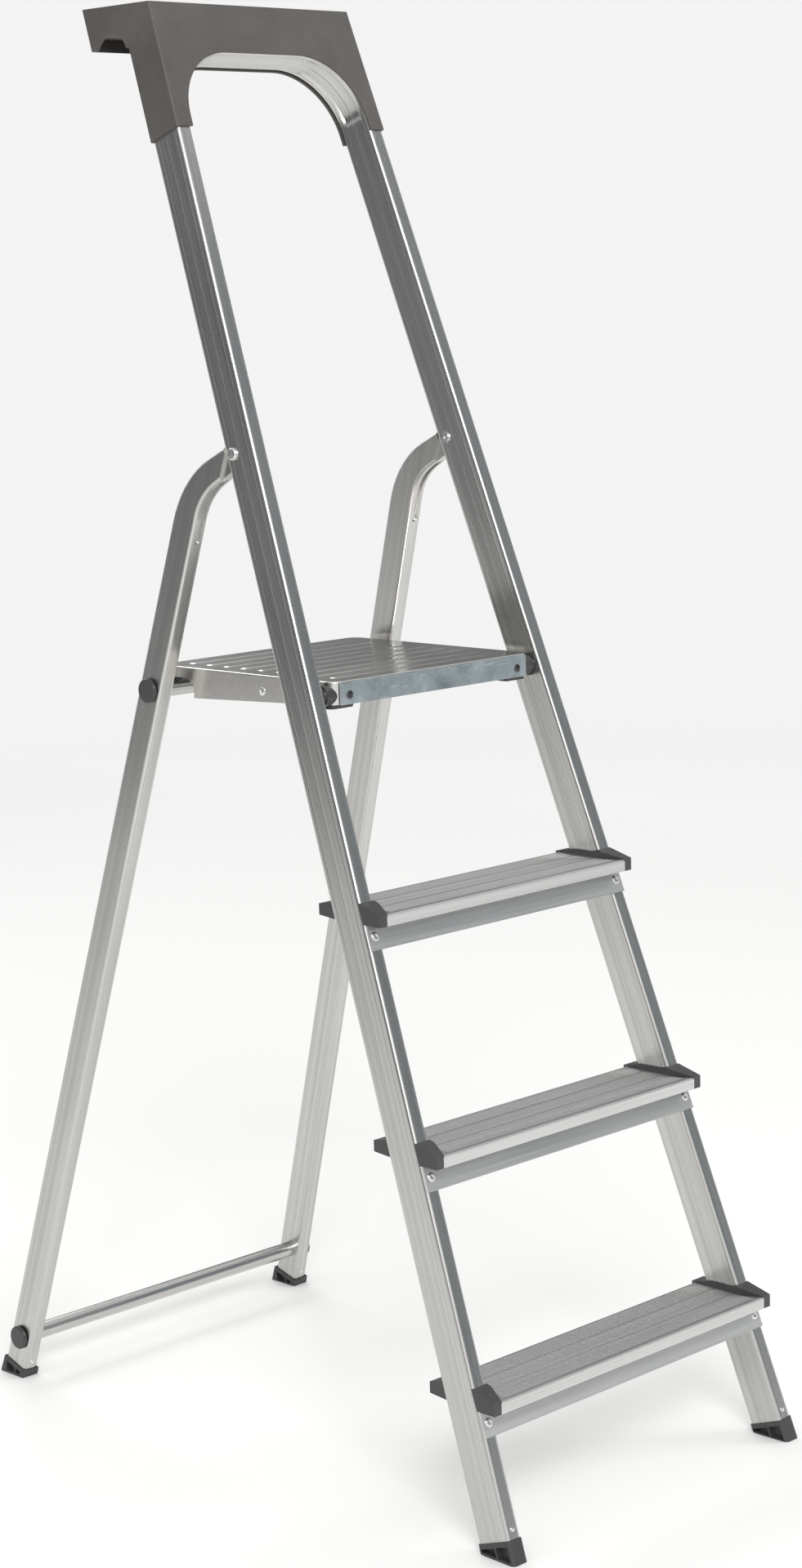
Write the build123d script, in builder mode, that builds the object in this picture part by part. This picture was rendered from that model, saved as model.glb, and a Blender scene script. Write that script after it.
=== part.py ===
"""Platform step ladder with three treads, a standing platform, a safety bow and a tool tray.

Frame: millimetres, +Z up, +X to the climber's right, the climber stands on the -Y side.
The origin is on the floor under the middle of the opened ladder.
"""
from build123d import *
from math import atan, cos, degrees, radians, sin, sqrt, tan
import os

os.makedirs("parts", exist_ok=True)

# ------------------------------------------------------------------ driving dimensions
LEAN = 0.3585            # front stiles: run per unit height, top leaning back
SPLAY = 0.3063           # rear legs: run per unit height, top leaning forward
TAPER = 0.0532           # both frames narrow by this much per side per unit height
FOOT_SPREAD = 764.6      # front faces of stiles to front faces of rear legs, on the floor
HALF_WIDTH = 216.8       # outer face of a stile from the middle plane, on the floor

STILE_W, STILE_D, STILE_R, STILE_T = 18.0, 42.0, 3.5, 1.4
LEG_W, LEG_D, LEG_R, LEG_T = 18.0, 34.0, 3.5, 1.4
BOW_R = 84.0             # centre-line radius of the bow's two bends
BOW_TOP = 1550.0         # centre line of the bow's top run, measured up the stile

TREAD_Z = {"low": 152.0, "mid": 377.5, "top": 603.0}
TREAD_DEPTH, TREAD_OVERHANG = 86.0, 26.0
NOSE_H, TREAD_T, REAR_H = 12.0, 2.2, 12.0
APRON_DROP, APRON_T = 37.0, 2.1
RIB_W, RIB_H, RIB_PITCH = 1.2, 0.6, 2.9
CAP_WALL, CAP_FRONT = 2.6, 10.0

DECK_Z, DECK_Y0, DECK_Y1, DECK_HALF = 820.0, 290.5, 560.0, 142.8
DECK_T, DECK_SKIRT, DECK_CORNER = 1.5, 32.0, 14.0
BEAD_COUNT, BEAD_W, BEAD_H, BEAD_LEN = 9, 11.0, 1.2, 244.0
NOTCH_Y, NOTCH_Z = 504.0, 808.6

TUBE_R, TUBE_T = 9.0, 1.2
FRONT_TUBE_Y, FRONT_TUBE_Z = 303.4, 805.6
UPPER_TUBE_Z, LOWER_TUBE_Z = 797.0, 47.0
PIVOT_Y, PIVOT_Z, PIVOT_R = 407.5, 1045.0, 4.0
RUN_FIT = 0.05           # radial clearance of a turning fit

FOOT_WALL, FRONT_FOOT_UP, REAR_FOOT_UP, PLUG_UP = 1.4, 24.0, 8.5, 26.0
TUBE_END, LEG_END_FRONT = 21.0, 5.0     # where the tubes end inside their feet
POCKET, POCKET_RIM, POCKET_RIB = 6.0, 2.2, 2.0

HOOD_T, HOOD_TOP, HOOD_LOW = 2.4, 1499.6, 1458.0
HOOD_DEPTH, TRAY_FLOOR_Z = 100.0, 1471.0

# ------------------------------------------------------------------ derived values
A_LEAN, A_SPLAY, A_TAPER = atan(LEAN), atan(SPLAY), atan(TAPER)
REAR_EDGE = FOOT_SPREAD + LEG_D / cos(A_SPLAY) + 3.0
FRONT_EDGE = -FOOT_WALL / cos(A_LEAN)
Y_MID = (REAR_EDGE + FRONT_EDGE) / 2
A_PLANE = atan(TAPER * cos(A_LEAN))     # taper seen square to the stiles' plane

FRONT = Plane(origin=(0, -Y_MID, 0), x_dir=(1, 0, 0), z_dir=(0, -cos(A_LEAN), sin(A_LEAN)))
SIDE = Plane(origin=(0, -Y_MID, 0), x_dir=(0, 1, 0), z_dir=(1, 0, 0))
SIDES = (("l", -1), ("r", 1))


def outer_x(z):
    """Outer face of stiles and legs at height z."""
    return HALF_WIDTH - TAPER * z


def inner_x(z):
    return outer_x(z) - STILE_W


def plane_x(v):
    """Outer face of a stile at distance v up its front face."""
    return HALF_WIDTH - tan(A_PLANE) * v


def front_y(z):
    """Front face of the stiles at height z, from the front face at the floor."""
    return LEAN * z


def leg_y(z):
    return FOOT_SPREAD - SPLAY * z


def leg_plane(side):
    """Middle plane of one rear leg; local y is z / cos(taper)."""
    middle = HALF_WIDTH - LEG_W / 2 / cos(A_TAPER)
    return Plane(origin=(side * middle, -Y_MID, 0), x_dir=(0, 1, 0),
                 z_dir=(cos(A_TAPER), 0, side * sin(A_TAPER)))


def stile_plane(side):
    """Middle plane of one stile: local x across, y up the stile, z to the front."""
    middle = HALF_WIDTH - STILE_W / 2 / cos(A_PLANE)
    across = FRONT.x_dir * cos(A_PLANE) + FRONT.y_dir * (side * sin(A_PLANE))
    origin = FRONT.from_local_coords((side * middle, 0, -STILE_D / 2))
    return Plane(origin=origin, x_dir=across, z_dir=FRONT.z_dir)


def cross_plane(y, z, x=0.0):
    """Plane square to +X, its origin on an axis that runs across the ladder."""
    return Plane(origin=(x, y - Y_MID, z), x_dir=(0, 1, 0), z_dir=(1, 0, 0))


def finish(solid, name):
    solid.part.label = name
    export_step(solid.part, f"parts/{name}.step")


def stile_prism(side, grow=0.0):
    """Solid outline of one stile, used to seat what rests against it."""
    with BuildPart() as prism:
        with BuildSketch(Plane(origin=stile_plane(side).origin, x_dir=stile_plane(side).x_dir,
                               z_dir=stile_plane(side).y_dir)):
            RectangleRounded(STILE_W + 2 * grow, STILE_D + 2 * grow, STILE_R)
        extrude(amount=HOOD_TOP)
    return prism.part


def round_x(y, z, x0, x1, radius):
    """Cylinder along X between x0 and x1."""
    low, high = sorted((x0, x1))
    with BuildPart() as rod:
        with BuildSketch(cross_plane(y, z, low)):
            Circle(radius)
        extrude(amount=high - low)
    return rod.part


def bow_outline(grow):
    """U outline of the bow in the stiles' plane, grown outwards from its centre line."""
    half_low = plane_x(0) - STILE_W / 2 / cos(A_PLANE) + grow / cos(A_PLANE)
    top = BOW_TOP + grow
    half_top = half_low - tan(A_PLANE) * top
    radius = BOW_R + grow
    with BuildLine(Plane.XY) as outline:
        FilletPolyline((-half_low, 0), (-half_top, top), (half_top, top), (half_low, 0),
                       radius=radius)
        Line((half_low, 0), (-half_low, 0))
    return outline.edges()


# ------------------------------------------------------------------ front frame: stiles and bow
PIVOT_ALONG = PIVOT_Z * cos(A_LEAN) + PIVOT_Y * sin(A_LEAN)
PIVOT_DEPTH = PIVOT_Y * cos(A_LEAN) - PIVOT_Z * sin(A_LEAN)
SLOT_W, SLOT_UP, SLOT_DOWN = 14.0, 18.0, 39.0

with BuildPart() as stile_bow:
    for inset, mode in ((0, Mode.ADD), (STILE_T, Mode.SUBTRACT)):
        with BuildSketch(FRONT.offset(-inset)):
            make_face(bow_outline(STILE_W / 2 - inset))
            make_face(bow_outline(-STILE_W / 2 + inset), mode=Mode.SUBTRACT)
        extrude(amount=-(STILE_D - 2 * inset), mode=mode)
    with BuildSketch(FRONT.offset(STILE_D)):
        with Locations((0, TUBE_END / 2 - STILE_D)):
            Rectangle(4 * HALF_WIDTH, TUBE_END + 2 * STILE_D)
    extrude(amount=-4 * STILE_D, mode=Mode.SUBTRACT)
    depths = {0.0, -STILE_D}
    long_edges = [e for e in stile_bow.edges()
                  if round(FRONT.to_local_coords(e.center()).Z, 3) in depths
                  and FRONT.to_local_coords(e.center()).Y > 2 * STILE_D]
    fillet(long_edges, STILE_R)
    for _, side in SIDES:
        add(round_x(PIVOT_Y, PIVOT_Z, side * (inner_x(PIVOT_Z) - 3), side * (outer_x(PIVOT_Z) + 3),
                    PIVOT_R), mode=Mode.SUBTRACT)
        add(round_x(FRONT_TUBE_Y, FRONT_TUBE_Z, side * (inner_x(FRONT_TUBE_Z) - 4),
                    side * (inner_x(FRONT_TUBE_Z) + 5), TUBE_R), mode=Mode.SUBTRACT)
        with BuildSketch(stile_plane(side).offset(-STILE_D / 2 - 1)):
            with Locations((0, (PIVOT_ALONG + (SLOT_UP - SLOT_DOWN) / 2) / cos(A_PLANE))):
                SlotOverall(SLOT_UP + SLOT_DOWN, SLOT_W, rotation=90)
        extrude(amount=STILE_T + 2, mode=Mode.SUBTRACT)

# ------------------------------------------------------------------ treads and their end caps
RIB_GROUPS = ((0.10, 7), (0.40, 7), (0.70, 8))     # start as a share of depth, number of ribs
LIP = 5.0


def tread_profile(z):
    """Section of the extruded tread in the side plane."""
    y0 = front_y(z) - TREAD_OVERHANG
    y1 = y0 + TREAD_DEPTH
    with BuildLine(Plane.XY) as outline:
        FilletPolyline((y0, z - NOSE_H), (y0, z), (y1, z), (y1, z - REAR_H), radius=1.6)
        Polyline((y1, z - REAR_H), (y1 - LIP, z - REAR_H), (y1 - LIP, z - REAR_H + TREAD_T),
                 (y1 - TREAD_T, z - REAR_H + TREAD_T), (y1 - TREAD_T, z - TREAD_T),
                 (y0 + TREAD_T, z - TREAD_T), (y0 + TREAD_T, z - NOSE_H + TREAD_T),
                 (y0 + LIP, z - NOSE_H + TREAD_T), (y0 + LIP, z - NOSE_H), (y0, z - NOSE_H))
    return outline.edges()


def rib_centres(z):
    y0 = front_y(z) - TREAD_OVERHANG
    return [(y0 + start * TREAD_DEPTH + i * RIB_PITCH, z + RIB_H / 2)
            for start, count in RIB_GROUPS for i in range(count)]


def build_tread(z):
    half = outer_x(z) - CAP_FRONT
    with BuildPart() as tread:
        with BuildSketch(SIDE):
            make_face(tread_profile(z))
            with Locations(*rib_centres(z)):
                Rectangle(RIB_W, RIB_H + 0.02)
        extrude(amount=half, both=True)
        v0 = (z - APRON_DROP) / cos(A_LEAN)
        v1 = (z - TREAD_T / 2) / cos(A_LEAN)
        with BuildSketch(FRONT):
            Polygon((-plane_x(v0) + 1, v0), (plane_x(v0) - 1, v0), (plane_x(v1) - 1, v1),
                    (-plane_x(v1) + 1, v1), align=None)
        extrude(amount=APRON_T)
        for _, side in SIDES:
            with BuildSketch(FRONT):
                far = side * 2 * HALF_WIDTH
                low, high = z - 3 * NOSE_H, z + 3 * NOSE_H
                edge = [side * (plane_x(v / cos(A_LEAN)) - STILE_W - CAP_WALL)
                        for v in (low, high)]
                Polygon((edge[0], low), (edge[1], high + TREAD_DEPTH), (far, high + TREAD_DEPTH),
                        (far, low), align=None)
            extrude(amount=-2 * TREAD_DEPTH, mode=Mode.SUBTRACT)
    return tread


def build_cap(z, side, tread):
    """Plastic end of a tread: wall beside the stile, lug in front of it and lug behind it."""
    yf, nose = front_y(z), front_y(z) - TREAD_OVERHANG
    rear = nose + TREAD_DEPTH + 3
    wall_in, wall_out = inner_x(z) - CAP_WALL, inner_x(z)
    behind = yf + STILE_D / cos(A_LEAN)
    low = z - NOSE_H
    with BuildPart() as cap:
        with BuildSketch(SIDE.offset(side * wall_in)):
            Polygon((nose, low), (nose, z + 1), (yf + LEAN * 9, z + 9), (yf + 12, z + 6),
                    (behind - 6, z + 6), (rear, z + 1.5), (rear, low + 2), (behind - 6, low),
                    align=None)
        extrude(amount=side * (outer_x(z) - wall_in))
        with BuildSketch(Plane.XY.offset(low - 1)):
            ahead = nose - 1 - Y_MID
            beside = yf - 3 - Y_MID
            Polygon((side * (wall_in - 1), ahead), (side * (outer_x(z) - CAP_FRONT), ahead),
                    (side * wall_in, beside), (side * (wall_in - 1), beside), align=None)
        extrude(amount=3 * NOSE_H, mode=Mode.SUBTRACT)
        add(stile_prism(side, 0.02), mode=Mode.SUBTRACT)
        with BuildSketch(SIDE.offset(side * (outer_x(z) - 2))):
            with Locations((behind + 10, z)):
                Rectangle(4 * CAP_FRONT, 4 * NOSE_H)
        extrude(amount=side * 6, mode=Mode.SUBTRACT)
        v0, v1 = (z - 4 * NOSE_H) / cos(A_LEAN), (z + 4 * NOSE_H) / cos(A_LEAN)
        with BuildSketch(FRONT.offset(-STILE_D - 40)):
            Polygon((side * (plane_x(v0) + 0.4), v0 - 40), (side * (plane_x(v1) + 0.4), v1),
                    (side * 2 * HALF_WIDTH, v1), (side * 2 * HALF_WIDTH, v0 - 40), align=None)
        extrude(amount=3 * STILE_D, mode=Mode.SUBTRACT)
        add(tread.part, mode=Mode.SUBTRACT)
    return cap


RIVET_HEAD_R, RIVET_SHANK_R, RIVET_HEAD_H = 4.6, 1.9, 1.3
treads = {}
for level, height in TREAD_Z.items():
    treads[level] = build_tread(height)
    for tag, side in SIDES:
        finish(build_cap(height, side, treads[level]), f"cap_{level}_{tag}")

rivet_spots = [(side * (plane_x((z - APRON_DROP + 13) / cos(A_LEAN)) - STILE_W / 2),
                (z - APRON_DROP + 13) / cos(A_LEAN)) for z in TREAD_Z.values() for _, side in SIDES]
with BuildPart() as rivet_holes:
    with BuildSketch(FRONT.offset(APRON_T + 1)):
        with Locations(*rivet_spots):
            Circle(RIVET_SHANK_R)
    extrude(amount=-(APRON_T + STILE_T + 2))

with BuildPart() as tread_rivets:
    with BuildSketch(FRONT.offset(APRON_T)):
        with Locations(*rivet_spots):
            Circle(RIVET_HEAD_R)
    extrude(amount=RIVET_HEAD_H)
    fillet(tread_rivets.edges().filter_by(GeomType.CIRCLE).group_by(
        lambda e: round(FRONT.to_local_coords(e.center()).Z, 2))[-1], 0.9)
    with BuildSketch(FRONT.offset(APRON_T)):
        with Locations(*rivet_spots):
            Circle(RIVET_SHANK_R)
    extrude(amount=-(APRON_T + STILE_T + 5))
    with BuildSketch(FRONT.offset(APRON_T + RIVET_HEAD_H)):
        with Locations(*rivet_spots):
            Circle(RIVET_SHANK_R * 0.7)
    extrude(amount=-2.0, mode=Mode.SUBTRACT)
finish(tread_rivets, "tread_rivets")

for level, tread in treads.items():
    with tread:
        add(rivet_holes.part, mode=Mode.SUBTRACT)
    finish(tread, f"tread_{level}")

# ------------------------------------------------------------------ tubes across the ladder
COLLAR_R, COLLAR_T = 12.0, 2.5


def cross_tube(y, z, half):
    with BuildPart() as tube:
        add(round_x(y, z, -half, half, TUBE_R))
        add(round_x(y, z, -half - 1, half + 1, TUBE_R - TUBE_T), mode=Mode.SUBTRACT)
    return tube


def leg_mid_y(z):
    return leg_y(z) + LEG_D / 2 / cos(A_SPLAY)


finish(cross_tube(FRONT_TUBE_Y, FRONT_TUBE_Z, inner_x(FRONT_TUBE_Z) + 4), "front_tube")
for tag, side in SIDES:
    seat = inner_x(FRONT_TUBE_Z)
    with BuildPart() as collar:
        add(round_x(FRONT_TUBE_Y, FRONT_TUBE_Z, side * (seat - COLLAR_T), side * (seat + 1), COLLAR_R))
        add(round_x(FRONT_TUBE_Y, FRONT_TUBE_Z, side * (seat - COLLAR_T - 1), side * (seat + 2), TUBE_R),
            mode=Mode.SUBTRACT)
        add(stile_prism(side), mode=Mode.SUBTRACT)
    finish(collar, f"collar_{tag}")

REAR_TUBES = {"upper": UPPER_TUBE_Z, "lower": LOWER_TUBE_Z}
PLUG_R, PLUG_T = 13.0, 4.5
for name, z in REAR_TUBES.items():
    half = outer_x(z - PLUG_R) + 0.1
    finish(cross_tube(leg_mid_y(z), z, half), f"tube_{name}")
    for tag, side in SIDES:
        with BuildPart() as plug:
            add(round_x(leg_mid_y(z), z, side * half, side * (half + PLUG_T), PLUG_R))
            rim = plug.edges().filter_by(GeomType.CIRCLE).sort_by(Axis.X)[-1 if side > 0 else 0]
            fillet(rim, 1.8)
            add(round_x(leg_mid_y(z), z, side * (half - 12), side * half, TUBE_R - TUBE_T))
        finish(plug, f"plug_{name}_{tag}")

# ------------------------------------------------------------------ rear legs
HEAD_OUT, HEAD_IN = (488.0, 1019.7), (459.0, 1000.0)
TONGUE_TOP, TONGUE_LOW = (421.5, 1051.0), (413.0, 1026.0)
HEAD_OUT_R, HEAD_IN_R, EYE_R, TONGUE_W = 105.0, 62.0, 12.5, 12.0
SHOULDER_GAP = STILE_D - PIVOT_DEPTH + 0.8
GROOVE_W, GROOVE_DEPTH, GROOVE_LOW, GROOVE_END_R = 6.6, 2.5, 955.0, 4.4   # pressed in the bend's inner wall


def leg_point(y, z):
    return (y, z / cos(A_TAPER))


def leg_outline(inset, low, high):
    """Straight tube outline in the leg's own plane between two heights of its front face."""
    run = inset / cos(A_SPLAY)
    step = (LEG_D - 2 * inset)
    front = [(leg_y(z) + run, z) for z in (low, high)]
    back = [(y + step * cos(A_SPLAY), z + step * sin(A_SPLAY)) for y, z in reversed(front)]
    return [leg_point(*p) for p in front + back]


def leg_face(plane, z):
    """Plane on the front face of a leg at height z: local x across the leg."""
    return Plane(origin=plane.from_local_coords((*leg_point(leg_y(z), z), 0)),
                 x_dir=plane.z_dir, z_dir=(0, -cos(A_SPLAY), -sin(A_SPLAY)))


def build_leg(side):
    plane = leg_plane(side)
    far_up = (TONGUE_TOP[0] - 60, TONGUE_TOP[1] + 60 * 0.471)
    far_low = (TONGUE_LOW[0] - 60, TONGUE_LOW[1] + 60 * 0.565)
    base = leg_outline(0, LEG_END_FRONT, 500)
    with BuildPart() as leg:
        with BuildSketch(plane):
            with BuildLine(Plane.XY) as back:
                FilletPolyline(base[3], leg_point(*HEAD_OUT), leg_point(*far_up), radius=HEAD_OUT_R)
            with BuildLine(Plane.XY) as front:
                FilletPolyline(base[0], leg_point(*HEAD_IN), leg_point(*far_low), radius=HEAD_IN_R)
            with BuildLine(Plane.XY) as ends:
                Line(base[3], base[0])
                Line(leg_point(*far_up), leg_point(*far_low))
            make_face(back.edges() + front.edges() + ends.edges())
        extrude(amount=LEG_W / 2, both=True)
        sharp = [e for e in leg.edges()
                 if abs(abs(plane.to_local_coords(e.center()).Z) - LEG_W / 2) < 0.01
                 and e.length > 2 * LEG_D]
        fillet(sharp, LEG_R)
        with BuildSketch(plane):
            with BuildLine(Plane.XY) as channel:
                FilletPolyline(leg_point(leg_y(GROOVE_LOW), GROOVE_LOW), leg_point(*HEAD_IN),
                               leg_point(*far_low), radius=HEAD_IN_R)
            trace(channel.edges(), line_width=2 * GROOVE_DEPTH)
        extrude(amount=GROOVE_W / 2, both=True, mode=Mode.SUBTRACT)
        with BuildSketch(leg_face(plane, GROOVE_LOW)):
            Circle(GROOVE_END_R)
        extrude(amount=-GROOVE_DEPTH, mode=Mode.SUBTRACT)
        for angle in (-A_LEAN, A_SPLAY):
            across = Vector(cos(angle), sin(angle))
            along = Vector(-sin(angle), cos(angle))
            corner = Vector(*leg_point(PIVOT_Y, PIVOT_Z)) + across * SHOULDER_GAP
            with BuildSketch(plane.offset(-LEG_W)):
                Polygon(*[tuple(p)[:2] for p in (corner + along * 90, corner - along * 90,
                          corner - along * 90 - across * 90, corner + along * 90 - across * 90)],
                        align=None)
            extrude(amount=2 * LEG_W, mode=Mode.SUBTRACT)
        with BuildSketch(plane):
            Polygon(*[leg_point(*p) for p in (TONGUE_TOP, (447, 1037), (452, 1009), (430, 1017),
                                              TONGUE_LOW, (399, 1035.5), (404, 1056.5))], align=None)
            with Locations(leg_point(PIVOT_Y, PIVOT_Z)):
                Circle(EYE_R)
        extrude(amount=TONGUE_W / 2, both=True)
        with BuildSketch(plane):
            Polygon(*leg_outline(LEG_T, -40, GROOVE_LOW - GROOVE_END_R - 3), align=None)
        extrude(amount=LEG_W / 2 - LEG_T, both=True, mode=Mode.SUBTRACT)
        add(round_x(PIVOT_Y, PIVOT_Z, -HALF_WIDTH, HALF_WIDTH, PIVOT_R + RUN_FIT), mode=Mode.SUBTRACT)
        for z in REAR_TUBES.values():
            add(round_x(leg_mid_y(z), z, -2 * HALF_WIDTH, 2 * HALF_WIDTH, TUBE_R), mode=Mode.SUBTRACT)
    return leg


legs = {tag: build_leg(side) for tag, side in SIDES}

# ------------------------------------------------------------------ hinge rivets
PIVOT_HEAD_R, PIVOT_HEAD_H, WASHER_R, WASHER_T = 6.5, 2.6, 7.5, 0.9
for tag, side in SIDES:
    out, inn = outer_x(PIVOT_Z), inner_x(PIVOT_Z)
    with BuildPart() as pin:
        add(round_x(PIVOT_Y, PIVOT_Z, side * (out - 2), side * (out + PIVOT_HEAD_H), PIVOT_HEAD_R))
        dome = pin.edges().filter_by(GeomType.CIRCLE).sort_by(Axis.X)[-1 if side > 0 else 0]
        fillet(dome, 2.0)
        add(round_x(PIVOT_Y, PIVOT_Z, side * (inn - WASHER_T), side * (inn + 2), WASHER_R))
        add(round_x(PIVOT_Y, PIVOT_Z, side * (inn - WASHER_T - 1.6), side * inn, PIVOT_HEAD_R - 1))
        add(stile_prism(side), mode=Mode.SUBTRACT)
        add(round_x(PIVOT_Y, PIVOT_Z, side * (inn - 0.5), side * (out + 0.5), PIVOT_R))
        add(round_x(PIVOT_Y, PIVOT_Z, side * (inn - 6), side * (inn + 3), PIVOT_R / 2), mode=Mode.SUBTRACT)
    finish(pin, f"hinge_rivet_{tag}")

# ------------------------------------------------------------------ feet


def below_floor():
    with BuildPart() as slab:
        with Locations((0, 0, -100)):
            Box(4 * HALF_WIDTH, 4 * FOOT_SPREAD, 200)
    return slab.part


def pocket_spans(depth):
    """Start and end of the two pockets in a foot's side, from its front."""
    middle = depth * 0.45
    return ((POCKET_RIM, middle - POCKET_RIB / 2), (middle + POCKET_RIB / 2, depth - POCKET_RIM))


GROUND = below_floor()
front_feet, rear_feet = {}, {}
for tag, side in SIDES:
    base = stile_plane(side)
    square = Plane(origin=base.origin, x_dir=base.x_dir, z_dir=base.y_dir)
    with BuildPart() as foot:
        with BuildSketch(square.offset(-30)):
            RectangleRounded(STILE_W + 2 * FOOT_WALL, STILE_D + 2 * FOOT_WALL, STILE_R + FOOT_WALL)
        extrude(amount=30 + FRONT_FOOT_UP)
        with BuildSketch(square.offset(TUBE_END - 1)):
            RectangleRounded(STILE_W, STILE_D, STILE_R)
            RectangleRounded(STILE_W - 2 * STILE_T, STILE_D - 2 * STILE_T, STILE_R - STILE_T,
                             mode=Mode.SUBTRACT)
        extrude(amount=FRONT_FOOT_UP, mode=Mode.SUBTRACT)   # the stile's wall sits in this groove
        with BuildSketch(square.offset(TUBE_END - 2)):
            RectangleRounded(STILE_W - 2 * STILE_T, STILE_D - 2 * STILE_T, STILE_R - STILE_T)
        extrude(amount=PLUG_UP)
        beside = Plane(origin=base.origin, x_dir=-base.z_dir, z_dir=base.x_dir)
        for face in (-1, 1):
            with BuildSketch(beside.offset(face * (STILE_W / 2 + FOOT_WALL - POCKET))):
                for d0, d1 in pocket_spans(STILE_D):
                    Polygon(*[(d - STILE_D / 2, v) for d, v in (
                        (d0, LEAN * d0 + POCKET_RIM), (d1, LEAN * d1 + POCKET_RIM),
                        (d1, TUBE_END - POCKET_RIM), (d0, TUBE_END - POCKET_RIM))], align=None)
            extrude(amount=face * 2 * POCKET, mode=Mode.SUBTRACT)
        add(GROUND, mode=Mode.SUBTRACT)
    front_feet[tag] = foot

for tag, side in SIDES:
    base = leg_plane(side)
    with BuildPart() as foot:
        with BuildSketch(base):
            Polygon(*[leg_point(y, z) for y, z in (
                (leg_y(-30) - 1.5, -30), (leg_y(REAR_FOOT_UP) - 1.5, REAR_FOOT_UP),
                (leg_y(REAR_FOOT_UP) + LEG_D * cos(A_SPLAY) + 1.5,
                 REAR_FOOT_UP + LEG_D * sin(A_SPLAY) + 0.9),
                (REAR_EDGE, 0), (REAR_EDGE, -30))], align=None)
        extrude(amount=LEG_W / 2 + FOOT_WALL, both=True)
        with BuildSketch(base):
            Polygon(*leg_outline(0, LEG_END_FRONT, 200), align=None)
        extrude(amount=LEG_W / 2, both=True, mode=Mode.SUBTRACT)
        with BuildSketch(base):
            Polygon(*leg_outline(LEG_T, LEG_END_FRONT - 1, 22), align=None)
        extrude(amount=LEG_W / 2 - LEG_T, both=True)
        start = leg_y(LEG_END_FRONT)
        for face in (-1, 1):
            with BuildSketch(base.offset(face * (LEG_W / 2 + FOOT_WALL - POCKET))):
                for d0, d1 in pocket_spans(LEG_D):
                    d0 = max(d0, 3 * POCKET_RIM)
                    Polygon(*[leg_point(start + d * cos(A_SPLAY), z) for d, z in (
                        (d0, POCKET_RIM), (d1, POCKET_RIM),
                        (d1, LEG_END_FRONT - POCKET_RIM / 2 + d1 * sin(A_SPLAY)),
                        (d0, LEG_END_FRONT - POCKET_RIM / 2 + d0 * sin(A_SPLAY)))], align=None)
            extrude(amount=face * 2 * POCKET, mode=Mode.SUBTRACT)
        add(GROUND, mode=Mode.SUBTRACT)
    rear_feet[tag] = foot

# ------------------------------------------------------------------ standing platform
SLOPE_REAR, SLOPE_FRONT = 788.0, 796.8
DECK_LEN = DECK_Y1 - DECK_Y0
REAR_SKIRT = 11.5
BRACE_Y, BRACE_Z, BRACE_W, BRACE_H, BRACE_T = 397.0, 803.4, 24.0, 18.0, 1.5
BORE_R = TUBE_R + RUN_FIT
SIDE_HOLE_R = 11.0
STRIP_T, STRIP_HALF, STRIP_LOW = 1.3, 135.0, 796.0

with BuildPart() as deck:
    for inset, mode in ((0, Mode.ADD), (DECK_T, Mode.SUBTRACT)):
        with BuildSketch(Plane.XY.offset(DECK_Z - DECK_SKIRT - (1 if inset else 0))):
            with Locations((0, (DECK_Y0 + DECK_Y1) / 2 - Y_MID)):
                RectangleRounded(2 * (DECK_HALF - inset), DECK_LEN - 2 * inset, DECK_CORNER - inset)
        extrude(amount=DECK_SKIRT + (1 if inset else 0) - inset, mode=mode)
    fillet(deck.edges().group_by(Axis.Z)[-1], 1.4)
    with BuildSketch(SIDE.offset(-2 * HALF_WIDTH)):
        Polygon((DECK_Y0 - 5, SLOPE_FRONT), (NOTCH_Y, SLOPE_REAR), (NOTCH_Y, NOTCH_Z - 8),
                (NOTCH_Y + 8, NOTCH_Z), (DECK_Y1 + 5, NOTCH_Z), (DECK_Y1 + 5, SLOPE_REAR - 10),
                (DECK_Y0 - 5, SLOPE_REAR - 10), align=None)
    extrude(amount=4 * HALF_WIDTH, mode=Mode.SUBTRACT)
    pitch = (DECK_LEN - 26) / BEAD_COUNT
    beads = [(0, DECK_Y0 + 13 + pitch * (i + 0.5) - Y_MID) for i in range(BEAD_COUNT)]
    with BuildSketch(Plane.XY.offset(DECK_Z - 0.2)):
        with Locations(*beads):
            SlotOverall(BEAD_LEN, BEAD_W)
    extrude(amount=BEAD_H + 0.2)
    fillet(deck.faces().filter_by(Axis.Z).group_by(Axis.Z)[-1].edges(), 0.9)
    with BuildSketch(Plane.XY.offset(DECK_Z - DECK_T - 1)):
        with Locations(*beads):
            SlotOverall(BEAD_LEN - 4, BEAD_W - 4)
    extrude(amount=1 + BEAD_H, mode=Mode.SUBTRACT)
    for _, side in SIDES:
        add(round_x(FRONT_TUBE_Y, FRONT_TUBE_Z, side * (DECK_HALF - DECK_CORNER - 2),
                    side * (DECK_HALF + 5), SIDE_HOLE_R), mode=Mode.SUBTRACT)
        add(round_x(BRACE_Y, BRACE_Z, side * (DECK_HALF - 3), side * (DECK_HALF + 3), 2.0),
            mode=Mode.SUBTRACT)

STRIP_RIVETS = [(x, 805.5) for x in (-121.5, 121.5)]
front_face = Plane(origin=(0, DECK_Y0 - Y_MID, 0), x_dir=(1, 0, 0), z_dir=(0, -1, 0))
with deck:
    with BuildSketch(front_face.offset(2)):
        with Locations(*STRIP_RIVETS):
            Circle(RIVET_SHANK_R)
    extrude(amount=-2 - DECK_T - 1, mode=Mode.SUBTRACT)
finish(deck, "deck")

with BuildPart() as strip:
    with BuildSketch(front_face):
        with Locations((0, (DECK_Z - 1 + STRIP_LOW) / 2)):
            RectangleRounded(2 * STRIP_HALF, DECK_Z - 1 - STRIP_LOW, 2)
        with Locations(*STRIP_RIVETS):
            Circle(RIVET_SHANK_R, mode=Mode.SUBTRACT)
    extrude(amount=STRIP_T)
finish(strip, "apron_strip")

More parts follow.
